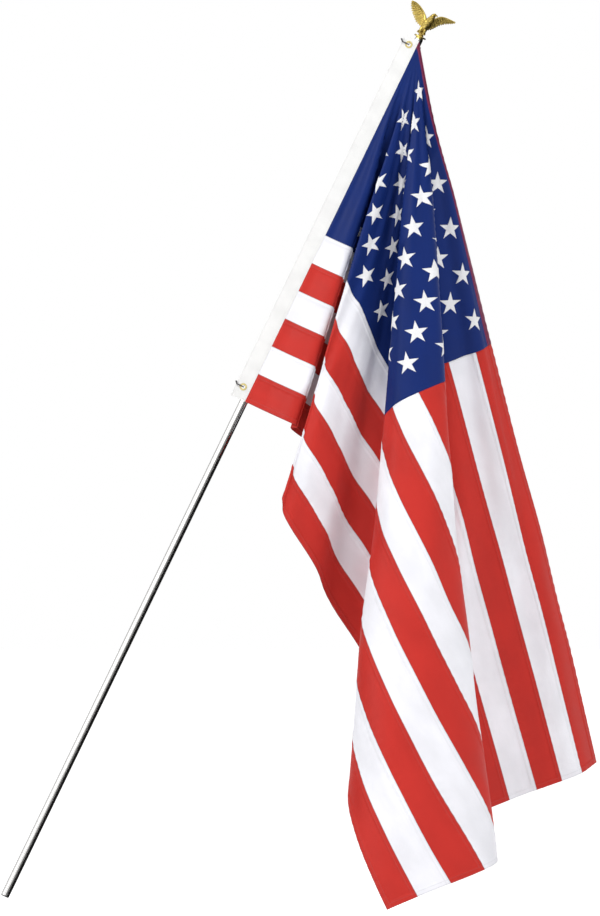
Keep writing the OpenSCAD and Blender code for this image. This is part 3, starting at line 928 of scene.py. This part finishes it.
class POLEFLAG_OT_header(bpy.types.Operator):
    """Make the canvas header with its folded edges and eyelet holes"""

    bl_idname = "poleflag.header"
    bl_label = "Make the Header"

    def execute(self, context):
        side, end = (0.15 * MM, 0.5 * MM, 1 * MM), (0.2 * MM, 0.5 * MM, 1 * MM)
        xs = steps(HEADER_LOW[0], HEADER_HIGH[0], 1.2 * MM, side, side)
        ss = steps(HEADER_LOW[2], HEADER_HIGH[2], 4 * MM, end, end)
        x, s = np.meshgrid(xs, ss, indexing="ij")
        x, s = x.ravel(), s.ravel()
        half = header_layers(x, s)
        wave = header_wave(x, s)
        front = np.stack([x, HEADER_Y + wave - half, s], -1) @ TO_WORLD.T
        back = np.stack([x, HEADER_Y + wave + half, s], -1) @ TO_WORLD.T
        points, shell = closed_shell(front, back, len(xs), len(ss))
        uv = np.tile(np.stack([HEADER_HIGH[2] - s, x], -1), (2, 1))
        header = make_piece("flag_header", points, shell, uv, "flag",
                            canvas_material())
        self.punch(header)
        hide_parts("header")
        threads = header_threads()
        return {"FINISHED"}

    def punch(self, header):
        """Cuts the eyelet holes, a little wider than the grommets' barrels."""
        for low, high in GROMMETS:
            middle = TO_WORLD @ ((low + high) / 2)
            cutter = bpy.data.meshes.new("eyelet cutter")
            work = bmesh.new()
            bmesh.ops.create_cone(work, cap_ends=True, segments=48, radius1=EYELET_RADIUS,
                                  radius2=EYELET_RADIUS, depth=20 * MM)
            work.transform(Matrix.Translation(middle) @ Matrix.Rotation(LEAN, 4, "Y")
                           @ Matrix.Rotation(math.pi / 2, 4, "X"))
            work.to_mesh(cutter)
            work.free()
            tool = bpy.data.objects.new("eyelet cutter", cutter)
            context = bpy.context
            context.scene.collection.objects.link(tool)
            cut = header.modifiers.new("eyelet", "BOOLEAN")
            cut.operation = "DIFFERENCE"
            cut.solver = "EXACT"
            cut.object = tool
            context.view_layer.update()
            whole = header.evaluated_get(context.evaluated_depsgraph_get())
            header.data = bpy.data.meshes.new_from_object(whole)
            header.modifiers.clear()
            bpy.data.objects.remove(tool)


def add_stitches(parts, ends, outs, radius=THREAD_RADIUS):
    """Adds one little loop of thread between each pair of ends, arched outward."""
    stations = sides = 6
    reach = np.linspace(0, 1, stations)
    lift = np.array([-0.9, 0.35, 0.85, 0.85, 0.35, -0.9]) * radius
    thin = np.array([0.7, 1, 1, 1, 1, 0.7]) * radius
    for (first, last), out in zip(ends, outs):
        path = first + np.outer(reach, last - first) + np.outer(lift, out)
        points, faces = tube(path, thin, sides)
        uv = np.zeros((len(points), 2))
        rings = stations * sides
        uv[:rings, 0] = np.repeat(reach * np.linalg.norm(last - first), sides)
        uv[:rings, 1] = np.tile(np.linspace(0, 2 * np.pi, sides, endpoint=False), stations)
        parts.add(points, faces, uv)


def row_ends(first, last, pitch):
    """Start and end of each stitch along a row."""
    count = int((last - first) / pitch)
    starts = first + pitch * np.arange(count)
    return starts + 0.08 * pitch, starts + 0.86 * pitch


def header_threads():
    """Lock stitches down both sides of the header, front and back."""
    parts = Parts()
    pitch = bpy.context.scene.flag_sizes.stitch_pitch
    for x in header_rows():
        start, end = row_ends(HEADER_LOW[2] + 2 * MM, HEADER_HIGH[2] - 2 * MM, pitch)
        middle = (start + end) / 2
        clear = np.ones(len(start), bool)
        for low, high in GROMMETS:
            away = np.hypot(middle - (low[2] + high[2]) / 2, x - (low[0] + high[0]) / 2)
            clear &= away > EYELET_CLEAR
        start, end, middle = start[clear], end[clear], middle[clear]
        wave = header_wave(x, middle)
        half = header_layers(np.full(len(middle), x), middle)
        for side in (-1, 1):
            y = HEADER_Y + wave + side * half
            a = np.stack([np.full(len(y), x), y, start], -1) @ TO_WORLD.T
            b = np.stack([np.full(len(y), x), y, end], -1) @ TO_WORLD.T
            add_stitches(parts, zip(a, b), [np.array([0, side, 0])] * len(a))
    thread = thread_material("white thread", tuple(bpy.context.scene.flag_colours.thread))
    return parts.piece("header_stitching", "flag", "header_canvas", thread)


def hem_stations():
    """Stations over a hem, measured in from its edge."""
    hem = bpy.context.scene.flag_sizes.hem_width
    return (0.4 * MM, 0.9 * MM, 1.5 * MM, 2.1 * MM, 4 * MM, 6.5 * MM, 7.9 * MM, 8.5 * MM,
            9.1 * MM, hem, hem + 0.5 * MM)


def panel_stations(first, last, top_hem, bottom_hem):
    """Hoist stations of a panel, closer at its seams and hems."""
    sizes = bpy.context.scene.flag_sizes
    seam = (0.35 * MM, 0.9 * MM, 1.4 * MM, 1.9 * MM, 2.6 * MM, 5.8 * MM, 6.6 * MM, 7.2 * MM,
            sizes.seam_width, sizes.seam_width + 0.5 * MM)
    return steps(first, last, 4.6 * MM, hem_stations() if top_hem else seam,
                 hem_stations() if bottom_hem else (0.35 * MM, 0.9 * MM))


def fly_stations(first, last):
    """Fly stations of a panel, closer at the hem of the fly end."""
    at_hem = last >= bpy.context.scene.flag_sizes.fly - MM
    return steps(first, last, 4 * MM, (), hem_stations() if at_hem else ())


class POLEFLAG_OT_stripes(bpy.types.Operator):
    """Make the thirteen sewn stripes"""

    bl_idname = "poleflag.stripes"
    bl_label = "Make the Stripes"

    def execute(self, context):
        sizes, colours = context.scene.flag_sizes, context.scene.flag_colours
        red = cloth_material("red nylon", tuple(colours.red))
        white = cloth_material("white nylon", tuple(colours.white), deep=0.8, seam_dust_and_shadow=0.4)
        union = sizes.fly * sizes.union_share
        for n in range(1, STRIPES + 1):
            start = union if n <= UNION_STRIPES else 0
            us = panel_stations((n - 1) * STRIPE, n * STRIPE, n == 1, n == STRIPES)
            odd = n % 2 == 1
            stripe = cloth_piece(
                f"flag_stripe_{n:02d}", us, fly_stations(start, sizes.fly),
                red if odd else white)
            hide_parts(f"stripe_{n:02d}")
        return {"FINISHED"}


STAR_ROWS, STAR_COLUMNS = 9, 11  # every other place of these has a star
NOTCH_SHARE = 0.382  # a star's inner radius, as a share of its outer one


class POLEFLAG_OT_canton(bpy.types.Operator):
    """Make the blue field and its embroidered stars"""

    bl_idname = "poleflag.canton"
    bl_label = "Make the Star Field"

    def execute(self, context):
        sizes, colours = context.scene.flag_sizes, context.scene.flag_colours
        blue = cloth_material("blue nylon", tuple(colours.blue), True, tuple(colours.maroon), 0.5)
        us = panel_stations(0, UNION_STRIPES * STRIPE, True, False)
        canton = cloth_piece("flag_canton", us, fly_stations(0, sizes.fly * sizes.union_share),
                             blue)
        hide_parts("canton")
        satin = star_material()
        stars = [self.stars(side, satin) for side in (1, -1)]
        return {"FINISHED"}

    def stars(self, side, material):
        """All the stars of one face, each a low closed dome of stitches."""
        sizes = bpy.context.scene.flag_sizes
        parts = Parts()
        arms, around = 5, 60
        turn = np.arange(around) / around * 2 * np.pi
        corner = 1 - np.abs(((turn * arms / np.pi) % 2) - 1)  # 0 at a point, 1 at a notch
        tip, notch = sizes.star_radius, sizes.star_radius * NOTCH_SHARE
        wedge = np.pi / arms
        off = corner * wedge
        side_angle = math.atan2(notch * math.sin(wedge), tip - notch * math.cos(wedge))
        rim = tip * math.sin(side_angle) / np.sin(np.pi - side_angle - off)
        rings = np.array([0.12, 0.3, 0.5, 0.7, 0.86, 0.95, 1.0])
        dome = np.array([0.62, 0.60, 0.58, 0.52, 0.45, 0.34, 0.02]) * MM
        r = rings[:, None] * rim[None]
        du, dv = -(r * np.cos(turn)).ravel(), (r * np.sin(turn)).ravel()
        lift = np.repeat(dome, len(turn))
        ridge = np.where(corner < 1e-6, 0.12 * MM, 0) * np.ones(len(rings))[:, None]
        lift = np.append(lift + ridge.ravel() * (lift > 0.1 * MM), dome[0])
        du, dv = np.append(du, 0), np.append(dv, 0)
        arm = np.append(np.tile(off, len(rings)), 0)
        uv = np.hypot(du, dv)[:, None] * np.stack([np.sin(arm), np.cos(arm)], -1)
        # deep is painted shade round each star's rim, where it meets the cloth
        deep = np.append(np.repeat(np.clip((rings - 0.8) / 0.2, 0, 1), len(turn)), 0)
        faces = [tuple(f) for f in grid_faces(len(rings), len(turn), closed=True)]
        centre = len(du) - 1
        faces += [(centre, k, (k + 1) % len(turn)) for k in range(len(turn))]
        border = (len(rings) - 1) * len(turn) + np.arange(len(turn))
        half = sizes.cloth_thickness / 2
        shell = shell_faces(len(du), faces, border)
        places = ((j, k) for j in range(1, STAR_ROWS + 1) for k in range(1, STAR_COLUMNS + 1)
                  if (j + k) % 2 == 0)
        for j, k in places:
            u = UNION_STRIPES * STRIPE * j / (STAR_ROWS + 1) + du
            v = sizes.star_margin + sizes.star_gap * k + dv
            middle, out = cloth(u, v), normals(cloth, u, v)
            top = middle + side * out * (half + lift)[:, None]
            under = middle + side * out * (half - 0.12 * MM)
            parts.add(np.concatenate([top, under]), shell, np.tile(uv, (2, 1)),
                      np.tile(deep, 2))
        name = "flag_stars_front" if side > 0 else "flag_stars_back"
        return parts.piece(name, "flag", "cloth_white", material)


# ---- the eagle --------------------------------------------------------------------------------
# In the pole's own frame, in millimetres at a span of 97, from the top of the base's boss: x to
# the side, y to the back, z up the pole.

DRAWN_SPAN = 97
FLIGHT_FEATHERS, BREAST_ROWS, TAIL_FEATHERS, TAIL_COVERTS = 13, 15, 9, 7
COVERT_ROWS = ((12, 0.62, 1.0), (11, 0.36, 1.9))  # feathers, length as a share, lift


def feather(root, tip, width, out, bend=0.0, camber=0.35, thick=0.5):
    """One closed feather with a raised quill. out is the way its face looks."""
    root, tip, out = (np.asarray(p, float) for p in (root, tip, out))
    run = tip - root
    length = np.linalg.norm(run)
    along = run / length
    across = np.cross(along, out)
    across /= np.linalg.norm(across)
    out = np.cross(across, along)
    t = np.array([0, 0.06, 0.18, 0.34, 0.5, 0.66, 0.8, 0.9, 0.96, 1.0])
    w = np.array([-1, -0.7, -0.3, 0, 0.3, 0.7, 1.0])
    rise = 0.55 + 0.45 * ease(t / 0.4)
    tail = np.sqrt(np.clip(1 - (np.clip(t - 0.62, 0, 1) / 0.385) ** 2, 0, 1))
    half = np.maximum(width / 2 * rise * tail, 0.02)
    T, W = np.meshgrid(t, w, indexing="ij")
    H = np.repeat(half[:, None], len(w), 1)
    middle = (root + T[..., None] * run + (W * H)[..., None] * across
              + (bend * length * np.sin(np.pi * T / 2) ** 2 - camber * W ** 2)[..., None] * out)
    quill = 0.30 * np.exp(-((W * H / 0.32) ** 2)) * (1 - 0.6 * T)
    body = thick * (0.35 + 0.65 * (1 - W ** 2)) * (1 - 0.5 * T)
    front = middle + (body / 2 + quill)[..., None] * out
    back = middle - (body / 2 + quill)[..., None] * out
    points, faces = closed_shell(front.reshape(-1, 3), back.reshape(-1, 3), len(t), len(w))
    uv = np.stack([(W * H).ravel(), (T * length).ravel()], -1) * MM
    # painted shade: high near the root, where the next feathers overlap it, and along the edges
    deep = np.clip(0.85 - 1.7 * T, 0, 1).ravel() + 0.35 * (np.abs(W).ravel() > 0.9)
    return points, faces, np.tile(uv, (2, 1)), np.tile(np.clip(deep, 0, 1), 2)


def eagle_piece(parts, name, material):
    """Puts an eagle part on top of the finial's base."""
    scale = bpy.context.scene.finial_sizes.span / DRAWN_SPAN
    foot = np.array([0, 0, BASE_HIGH[2]])
    parts.points = [(foot + p * scale) @ TO_WORLD.T for p in parts.points]
    return parts.piece(name, "finial", "gilt", material)


# Each wing's leading edge from the shoulder out, and its trailing edge from the leg out.
LEFT_ARM = [(5, 1, 30), (9, 2.5, 35), (14, 4, 42), (20, 4.5, 47.5), (28, 4.5, 49.8),
            (38, 3, 50.5), (48, 1, 50.6)]
LEFT_TRAIL = [(8, 2.5, 14.5), (12, 3.5, 17), (17, 4.5, 23), (22, 5, 29.5), (28, 5, 35.3),
              (34, 4.5, 39.5), (40, 3.5, 43), (45.5, 2, 46.5), (48.6, 1, 50)]
RIGHT_ARM = [(5, 1, 30), (7.5, 2, 34.5), (12, 3.5, 39.5), (19, 4.5, 45), (27, 4.5, 49.5),
             (35, 3.5, 52.2), (42, 1.5, 52.4)]
RIGHT_TRAIL = [(7, 2.5, 14.5), (13, 3.5, 16.5), (20, 4.5, 19), (25, 5, 23), (30, 5, 27.8),
               (35.5, 4.5, 33.5), (39.5, 3.5, 39), (42.8, 2, 45), (44.2, 1, 51)]


def wing(side):
    """One raised wing: arm, flight feathers and two rows of coverts on each face."""
    parts = Parts()
    arm = curve_through(LEFT_ARM if side > 0 else RIGHT_ARM, 60)
    trail = curve_through(LEFT_TRAIL if side > 0 else RIGHT_TRAIL, 60)
    flip = np.array([side, 1, 1])
    front = np.array([0.1 * side, -1.0, 0.12])

    def place(curve, share):
        """A point at a share of a curve, on this wing's side."""
        return curve[int(round(share * (len(curve) - 1)))] * flip

    for i in range(FLIGHT_FEATHERS):
        t = i / (FLIGHT_FEATHERS - 1)
        root = place(arm, 0.04 + 0.90 * t) + np.array([0, 0.35 * (i % 2), -0.6])
        tip = place(trail, t) + np.array([0, 0.5 * (i % 2), 0])
        width = 5.6 - 1.3 * t
        parts.add(*feather(root, tip, width, front, bend=-0.05))
    for row, (count, reach, lift) in enumerate(COVERT_ROWS):
        for face in (-1, 1):
            for i in range(count):
                t = (i + 0.3 * row) / (count - 0.4)
                root = place(arm, 0.03 + 0.9 * t)
                tip = root + (place(trail, t) - root) * (reach - 0.10 * t)
                shift = np.array([0, face * (lift + 0.12 * (i % 2)), 0])
                out = front * np.array([1, -face, 1])
                parts.add(*feather(root + shift, tip + shift * 0.85, 4.8 - 1.2 * t, out))
    bone = arm * flip
    parts.add(*tube(bone, np.linspace(2.7, 1.0, len(bone)), 12, 0.95))
    return parts


def eagle_body():
    """Breast, neck and head, covered with small overlapping feathers."""
    parts = Parts()
    spine = curve_through([(-1.5, 2.5, 8), (-1, 1.5, 12), (0, -0.5, 18), (1.2, -2, 26),
                           (2.6, -2, 33), (4.2, -2.2, 39), (5.6, -3, 44.5), (6.6, -3.6, 48.2)], 34)
    share = np.linspace(0, 1, len(spine))
    width = np.interp(share, [0, 0.12, 0.3, 0.5, 0.65, 0.78, 0.88, 0.96, 1],
                      [2.2, 4.8, 7.2, 7.9, 6.2, 4.3, 4.3, 3.2, 0.8])
    parts.add(*tube(spine, width, 28, 0.92))
    for row in range(BREAST_ROWS):
        at = 0.88 - 0.80 * row / (BREAST_ROWS - 1)
        i = int(at * (len(spine) - 1))
        centre, radius = spine[i], width[i]
        lower = spine[max(i - 5, 0)]
        lower_radius = width[max(i - 5, 0)]
        count = max(int(round(2 * np.pi * radius / 3.0)), 8)
        for k in range(count):
            angle = 2 * np.pi * (k + 0.5 * (row % 2)) / count
            out = np.array([math.cos(angle), math.sin(angle) * 0.92, 0.0])
            root = centre + out * (radius - 0.1)
            tip = lower + out * (lower_radius + 0.75)
            tip = root + (tip - root) * min(5.6 / np.linalg.norm(tip - root), 1)
            parts.add(*feather(root, tip, 3.5, out, camber=0.3, thick=0.45))
    beak = curve_through([(8.6, -4.6, 46.8), (10.8, -5.2, 47.0), (12.6, -5.6, 45.9),
                          (13.0, -5.7, 43.9)], 12)
    parts.add(*tube(beak, np.linspace(2.0, 0.25, len(beak)), 14, 0.8))
    jaw = curve_through([(8.6, -4.5, 45.0), (10.4, -5.0, 44.7), (11.6, -5.3, 44.3)], 8)
    parts.add(*tube(jaw, np.linspace(1.1, 0.25, len(jaw)), 12, 0.8))
    for y in (-7.3, 0.2):
        brow = curve_through([(4.6, y * 0.9 - 0.3, 48.4), (7.0, y, 48.5), (9.0, y * 0.8 - 0.8, 47.6)], 8)
        parts.add(*tube(brow, np.array([0.3, 0.6, 0.8, 0.9, 0.9, 0.8, 0.6, 0.3]), 10))
        eye = np.array([7.3, y + (0.25 if y < -3 else -0.25), 47.0])
        ball = curve_through([eye - (0, 0, 0.75), eye, eye + (0, 0, 0.75)], 9)
        swell = 0.75 * np.sin(np.linspace(0.05, np.pi - 0.05, 9))
        # the eyeballs get painted shade through a high deep value
        parts.add(*tube(ball, swell, 12), deep=0.9)
    return parts


def eagle_tail():
    """A fan of tail feathers behind the legs, with a row of coverts over their roots."""
    parts = Parts()
    for i in range(TAIL_FEATHERS):
        spread = 2 * i / (TAIL_FEATHERS - 1) - 1
        root = np.array([-1 + 2.2 * spread, 3.4 + 0.3 * (i % 2), 13])
        tip = np.array([-1.5 + 8.2 * spread, 7.6 + 0.5 * (i % 2) - 1.2 * abs(spread),
                        1.6 + 1.4 * abs(spread)])
        parts.add(*feather(root, tip, 3.8, (0.15 * spread, 1, 0.3), bend=0.05))
    for i in range(TAIL_COVERTS):
        spread = 2 * i / (TAIL_COVERTS - 1) - 1
        root = np.array([-1 + 2.4 * spread, 4.6, 14])
        tip = np.array([-1.2 + 4.8 * spread, 7.2, 7.5])
        parts.add(*feather(root, tip, 3.2, (0.15 * spread, 1, 0.3)))
    return parts


def eagle_legs():
    """Feathered thighs, shanks, and toes that grip a low mound."""
    parts = Parts()
    mound_path = np.array([(0, 0, z) for z in (0.1, 0.5, 1.2, 2.0, 2.8, 3.3)])
    parts.add(*tube(mound_path + 1e-6, np.array([5.0, 5.2, 4.9, 4.0, 2.4, 0.6]), 28))
    for side in (-1, 1):
        thigh = curve_through([(side * 3.4 - 0.5, 0.5, 16), (side * 3.9 - 0.8, -0.8, 11),
                               (side * 3.2 - 1, -0.6, 7)], 14)
        thick = np.interp(np.linspace(0, 1, 14), [0, 0.35, 0.8, 1], [3.4, 3.6, 2.3, 1.5])
        parts.add(*tube(thigh, thick, 18))
        for row in range(3):
            centre = thigh[3 + 3 * row]
            for k in range(9):
                angle = 2 * np.pi * (k + 0.5 * (row % 2)) / 9
                out = np.array([math.cos(angle), math.sin(angle), 0.0])
                root = centre + out * (thick[3 + 3 * row] - 0.2)
                tip = root + np.array([0, 0, -4.2]) - out * 0.5
                parts.add(*feather(root, tip, 2.6, out, camber=0.25, thick=0.4))
        ankle = np.array([side * 2.6 - 0.4, -0.8, 3.6])
        shank = curve_through([(side * 3.2 - 1, -0.6, 7.6), (side * 2.9 - 0.6, -0.8, 5.4), ankle], 8)
        parts.add(*tube(shank, np.linspace(1.25, 1.1, 8), 12))
        for toe in (-0.55, 0.0, 0.55, math.pi):
            reach = 2.3 if toe == math.pi else 3.6
            way = np.array([math.sin(toe + 0.25 * side), -math.cos(toe + 0.25 * side), 0])
            path = curve_through([ankle + (0, 0, 0.2), ankle + way * reach * 0.5 + (0, 0, 0.1),
                                  ankle + way * reach + (0, 0, -1.3),
                                  ankle + way * (reach + 0.5) + (0, 0, -2.6)], 10)
            parts.add(*tube(path, np.linspace(0.95, 0.22, 10), 10))
    return parts


class POLEFLAG_OT_eagle(bpy.types.Operator):
    """Make the gilt eagle on top of the pole"""

    bl_idname = "poleflag.eagle"
    bl_label = "Make the Eagle"

    def execute(self, context):
        gilt = gilt_material("feathered gilt", True)
        body = eagle_piece(eagle_body(), "eagle_body", gilt)
        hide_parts("eagle")
        eagle_piece(wing(1), "eagle_wing_left", gilt)
        eagle_piece(wing(-1), "eagle_wing_right", gilt)
        eagle_piece(eagle_tail(), "eagle_tail", gilt)
        eagle_piece(eagle_legs(), "eagle_legs", gilt)
        return {"FINISHED"}


# ---- the studio -------------------------------------------------------------------------------

SENSOR = 24  # height of the camera's sensor, in millimetres
VIEW_SHIFT = (-0.7 * MM, -8.5 * MM)  # from the middle of the frame to the middle of the view
FLOOR_SIDE = 120.0
NEAR_FLOOR, NEAR_GLOW = 2.4, 0.12  # within this reach the floor shows the object's shadow
FAR_FLOOR, FAR_GLOW = 4.0, 0.80  # beyond this reach it is white
# Each lamp's side, and its place from the middle of the frame.
KEY, FILL, BACK = (4.2, (-3.6, -3.6, 3.0)), (2.4, (3.6, -3.0, 1.4)), (4.2, (0.6, 4.4, 2.6))
# Each card's turns round the pole from the front in degrees, and how bright it is.
DARK_CARD, GREY_CARD, THIN_CARD = (38, 176, 0.012), (4, 36, 0.20), (-176, -128, 0.12)
CARD_DISTANCE, CARD_LENGTH = 0.12, 2.0


def stage_sheet(name, half_side, material):
    """A flat square sheet for the stage, which isn't part of the object."""
    mesh = bpy.data.meshes.new(name)
    work = bmesh.new()
    bmesh.ops.create_grid(work, x_segments=4, y_segments=4, size=half_side)
    work.to_mesh(mesh)
    work.free()
    mesh.materials.append(material)
    sheet = bpy.data.objects.new(name, mesh)
    bpy.context.scene.collection.objects.link(sheet)
    return sheet


def seen_rays(nodes):
    """1 for the rays of the camera, metal and glass, 0 for those that light the object."""
    path = nodes.add("ShaderNodeLightPath").outputs
    seen = nodes.math("MAXIMUM", path["Is Camera Ray"], path["Is Glossy Ray"])
    return nodes.math("MAXIMUM", seen, path["Is Transmission Ray"])


def seen_white(nodes, shade, glow):
    """Adds white light to a shader where the camera, metal or glass sees it."""
    light = nodes.add("ShaderNodeEmission", Color=(1, 1, 1), Strength=nodes.times(seen_rays(nodes), glow))
    both = nodes.add("ShaderNodeAddShader")
    nodes.tree.links.new(shade, both.inputs[0])
    nodes.tree.links.new(light.outputs[0], both.inputs[1])
    return both.outputs[0]


class POLEFLAG_OT_studio(bpy.types.Operator):
    """Set up the camera, lamps, world and pale floor"""

    bl_idname = "poleflag.studio"
    bl_label = "Set Up the Studio"

    def execute(self, context):
        scene, studio = context.scene, context.scene.studio_settings
        scene.view_settings.view_transform = "Standard"
        self.camera(scene, studio)
        self.world(scene, studio)
        self.floor(studio)
        self.lamp("key", studio.key_power, *KEY, glints=True)
        self.lamp("fill", studio.fill_power, *FILL)
        self.lamp("back", studio.back_power, *BACK)
        self.card("dark card", *DARK_CARD)
        self.card("grey card", *GREY_CARD)
        self.card("thin card", *THIN_CARD)
        return {"FINISHED"}

    def camera(self, scene, studio):
        """A level camera so far off that near and far folds look the same size."""
        lens = bpy.data.cameras.new("camera")
        camera = bpy.data.objects.new("camera", lens)
        scene.collection.objects.link(camera)
        low, high = np.array(CAD_BOX[0]), np.array(CAD_BOX[1])
        middle = (low + high) / 2
        camera.location = (middle[0] + VIEW_SHIFT[0], -studio.camera_distance,
                           middle[2] + VIEW_SHIFT[1])
        camera.rotation_euler = (math.pi / 2, 0, 0)
        lens.sensor_fit = "VERTICAL"
        lens.sensor_height = SENSOR
        lens.lens = SENSOR * studio.camera_distance / studio.view_height
        lens.clip_end = 200
        scene.camera = camera

    def world(self, scene, studio):
        """Even light, with white where the camera and the metal see it."""
        world = bpy.data.worlds.new("studio")
        world.use_nodes = True
        world.node_tree.nodes.clear()
        nodes = Nodes(world.node_tree)
        seen = nodes.times(seen_rays(nodes), 1 - studio.ambient)
        strength = nodes.plus(seen, studio.ambient)
        light = nodes.add("ShaderNodeBackground", Color=(1, 1, 1), Strength=strength)
        end = nodes.add("ShaderNodeOutputWorld")
        nodes.tree.links.new(light.outputs[0], end.inputs[0])
        scene.world = world

    def floor(self, studio):
        """A pale floor that shows the shadow near the object and is white far from it."""
        material, nodes, shader = new_material("pale floor")
        end = next(n for n in nodes.tree.nodes if n.type == "OUTPUT_MATERIAL")
        place = nodes.add("ShaderNodeTexCoord").outputs["Object"]
        tone = nodes.mix(nodes.noise(place, 6, 3), (0.78, 0.78, 0.78), (0.84, 0.84, 0.84))
        finish_shader(nodes, shader, {"Roughness": 0.9, "Specular IOR Level": 0.1}, tone)
        far = nodes.add("ShaderNodeVectorMath", {"operation": "LENGTH"}, Vector=place).outputs[1]
        glow = nodes.ramp(far, NEAR_FLOOR, FAR_FLOOR, NEAR_GLOW, FAR_GLOW)
        nodes.tree.links.new(seen_white(nodes, shader.outputs[0], glow), end.inputs[0])
        floor = stage_sheet("floor", FLOOR_SIDE / 2, material)
        floor.location = ((CAD_BOX[0][0] + CAD_BOX[1][0]) / 2, 0,
                          CAD_BOX[0][2] - studio.floor_drop)

    def lamp(self, name, power, size, place, glints=False):
        """A soft lamp. Only one with glints shows in the metal."""
        light = bpy.data.lights.new(name, "AREA")
        light.energy, light.size = power, size
        lamp = bpy.data.objects.new(name, light)
        bpy.context.scene.collection.objects.link(lamp)
        middle = (Vector(CAD_BOX[0]) + Vector(CAD_BOX[1])) / 2
        lamp.location = middle + Vector(place)
        lamp.rotation_euler = (-Vector(place)).to_track_quat("-Z", "Y").to_euler()
        lamp.visible_glossy = glints

    def card(self, name, first, last, grey):
        """A card beside the pole that only metal sees, from one turn to another."""
        material, nodes, shader = new_material(name)
        finish_shader(nodes, shader, {"Base Color": (0, 0, 0), "Roughness": 1.0,
                                      "Specular IOR Level": 0.0,
                                      "Emission Color": (1, 1, 1), "Emission Strength": grey})
        card = stage_sheet(name, 0.5, material)
        turn = math.radians((first + last) / 2)
        size = (2 * CARD_DISTANCE * math.tan(math.radians((last - first) / 2)), CARD_LENGTH)
        way = Vector(TO_WORLD @ np.array([math.sin(turn), -math.cos(turn), 0])) * CARD_DISTANCE
        along = Vector(TO_WORLD[:, 2])
        across = along.cross(way.normalized())
        card.matrix_world = Matrix.Translation(along * CARD_LENGTH * 0.49 + way) @ Matrix(
            (across * size[0], along * size[1], way.normalized())).transposed().to_4x4()
        for ray in ("camera", "diffuse", "shadow", "transmission"):
            setattr(card, f"visible_{ray}", False)


class POLEFLAG_PT_panel(bpy.types.Panel):
    """The flag's settings and steps"""

    bl_label = "Pole Flag"
    bl_space_type = "VIEW_3D"
    bl_region_type = "UI"
    bl_category = "Pole Flag"

    def draw(self, context):
        for group in (context.scene.flag_sizes, context.scene.flag_colours,
                      context.scene.finial_sizes, context.scene.studio_settings):
            box = self.layout.box()
            for name in group.__annotations__:
                box.prop(group, name)
        for step in STEPS:
            self.layout.operator(step.bl_idname)


SETTINGS = {"flag_sizes": FlagSizes, "flag_colours": FlagColours,
            "finial_sizes": FinialSizes, "studio_settings": StudioSettings}
STEPS = (POLEFLAG_OT_studio, POLEFLAG_OT_metalwork, POLEFLAG_OT_header, POLEFLAG_OT_canton,
         POLEFLAG_OT_stripes, POLEFLAG_OT_eagle)


def register():
    """Adds the settings, steps and panel."""
    for item in (*SETTINGS.values(), *STEPS, POLEFLAG_PT_panel):
        bpy.utils.register_class(item)
    for name, group in SETTINGS.items():
        setattr(bpy.types.Scene, name, bpy.props.PointerProperty(type=group))


def unregister():
    """Takes them out again."""
    for name in SETTINGS:
        delattr(bpy.types.Scene, name)
    for item in reversed((*SETTINGS.values(), *STEPS, POLEFLAG_PT_panel)):
        bpy.utils.unregister_class(item)


def main():
    """Runs every step in order."""
    register()
    bpy.ops.poleflag.studio()
    bpy.ops.poleflag.metalwork()
    bpy.ops.poleflag.header()
    bpy.ops.poleflag.canton()
    bpy.ops.poleflag.stripes()
    bpy.ops.poleflag.eagle()


if __name__ == "__main__":
    main()
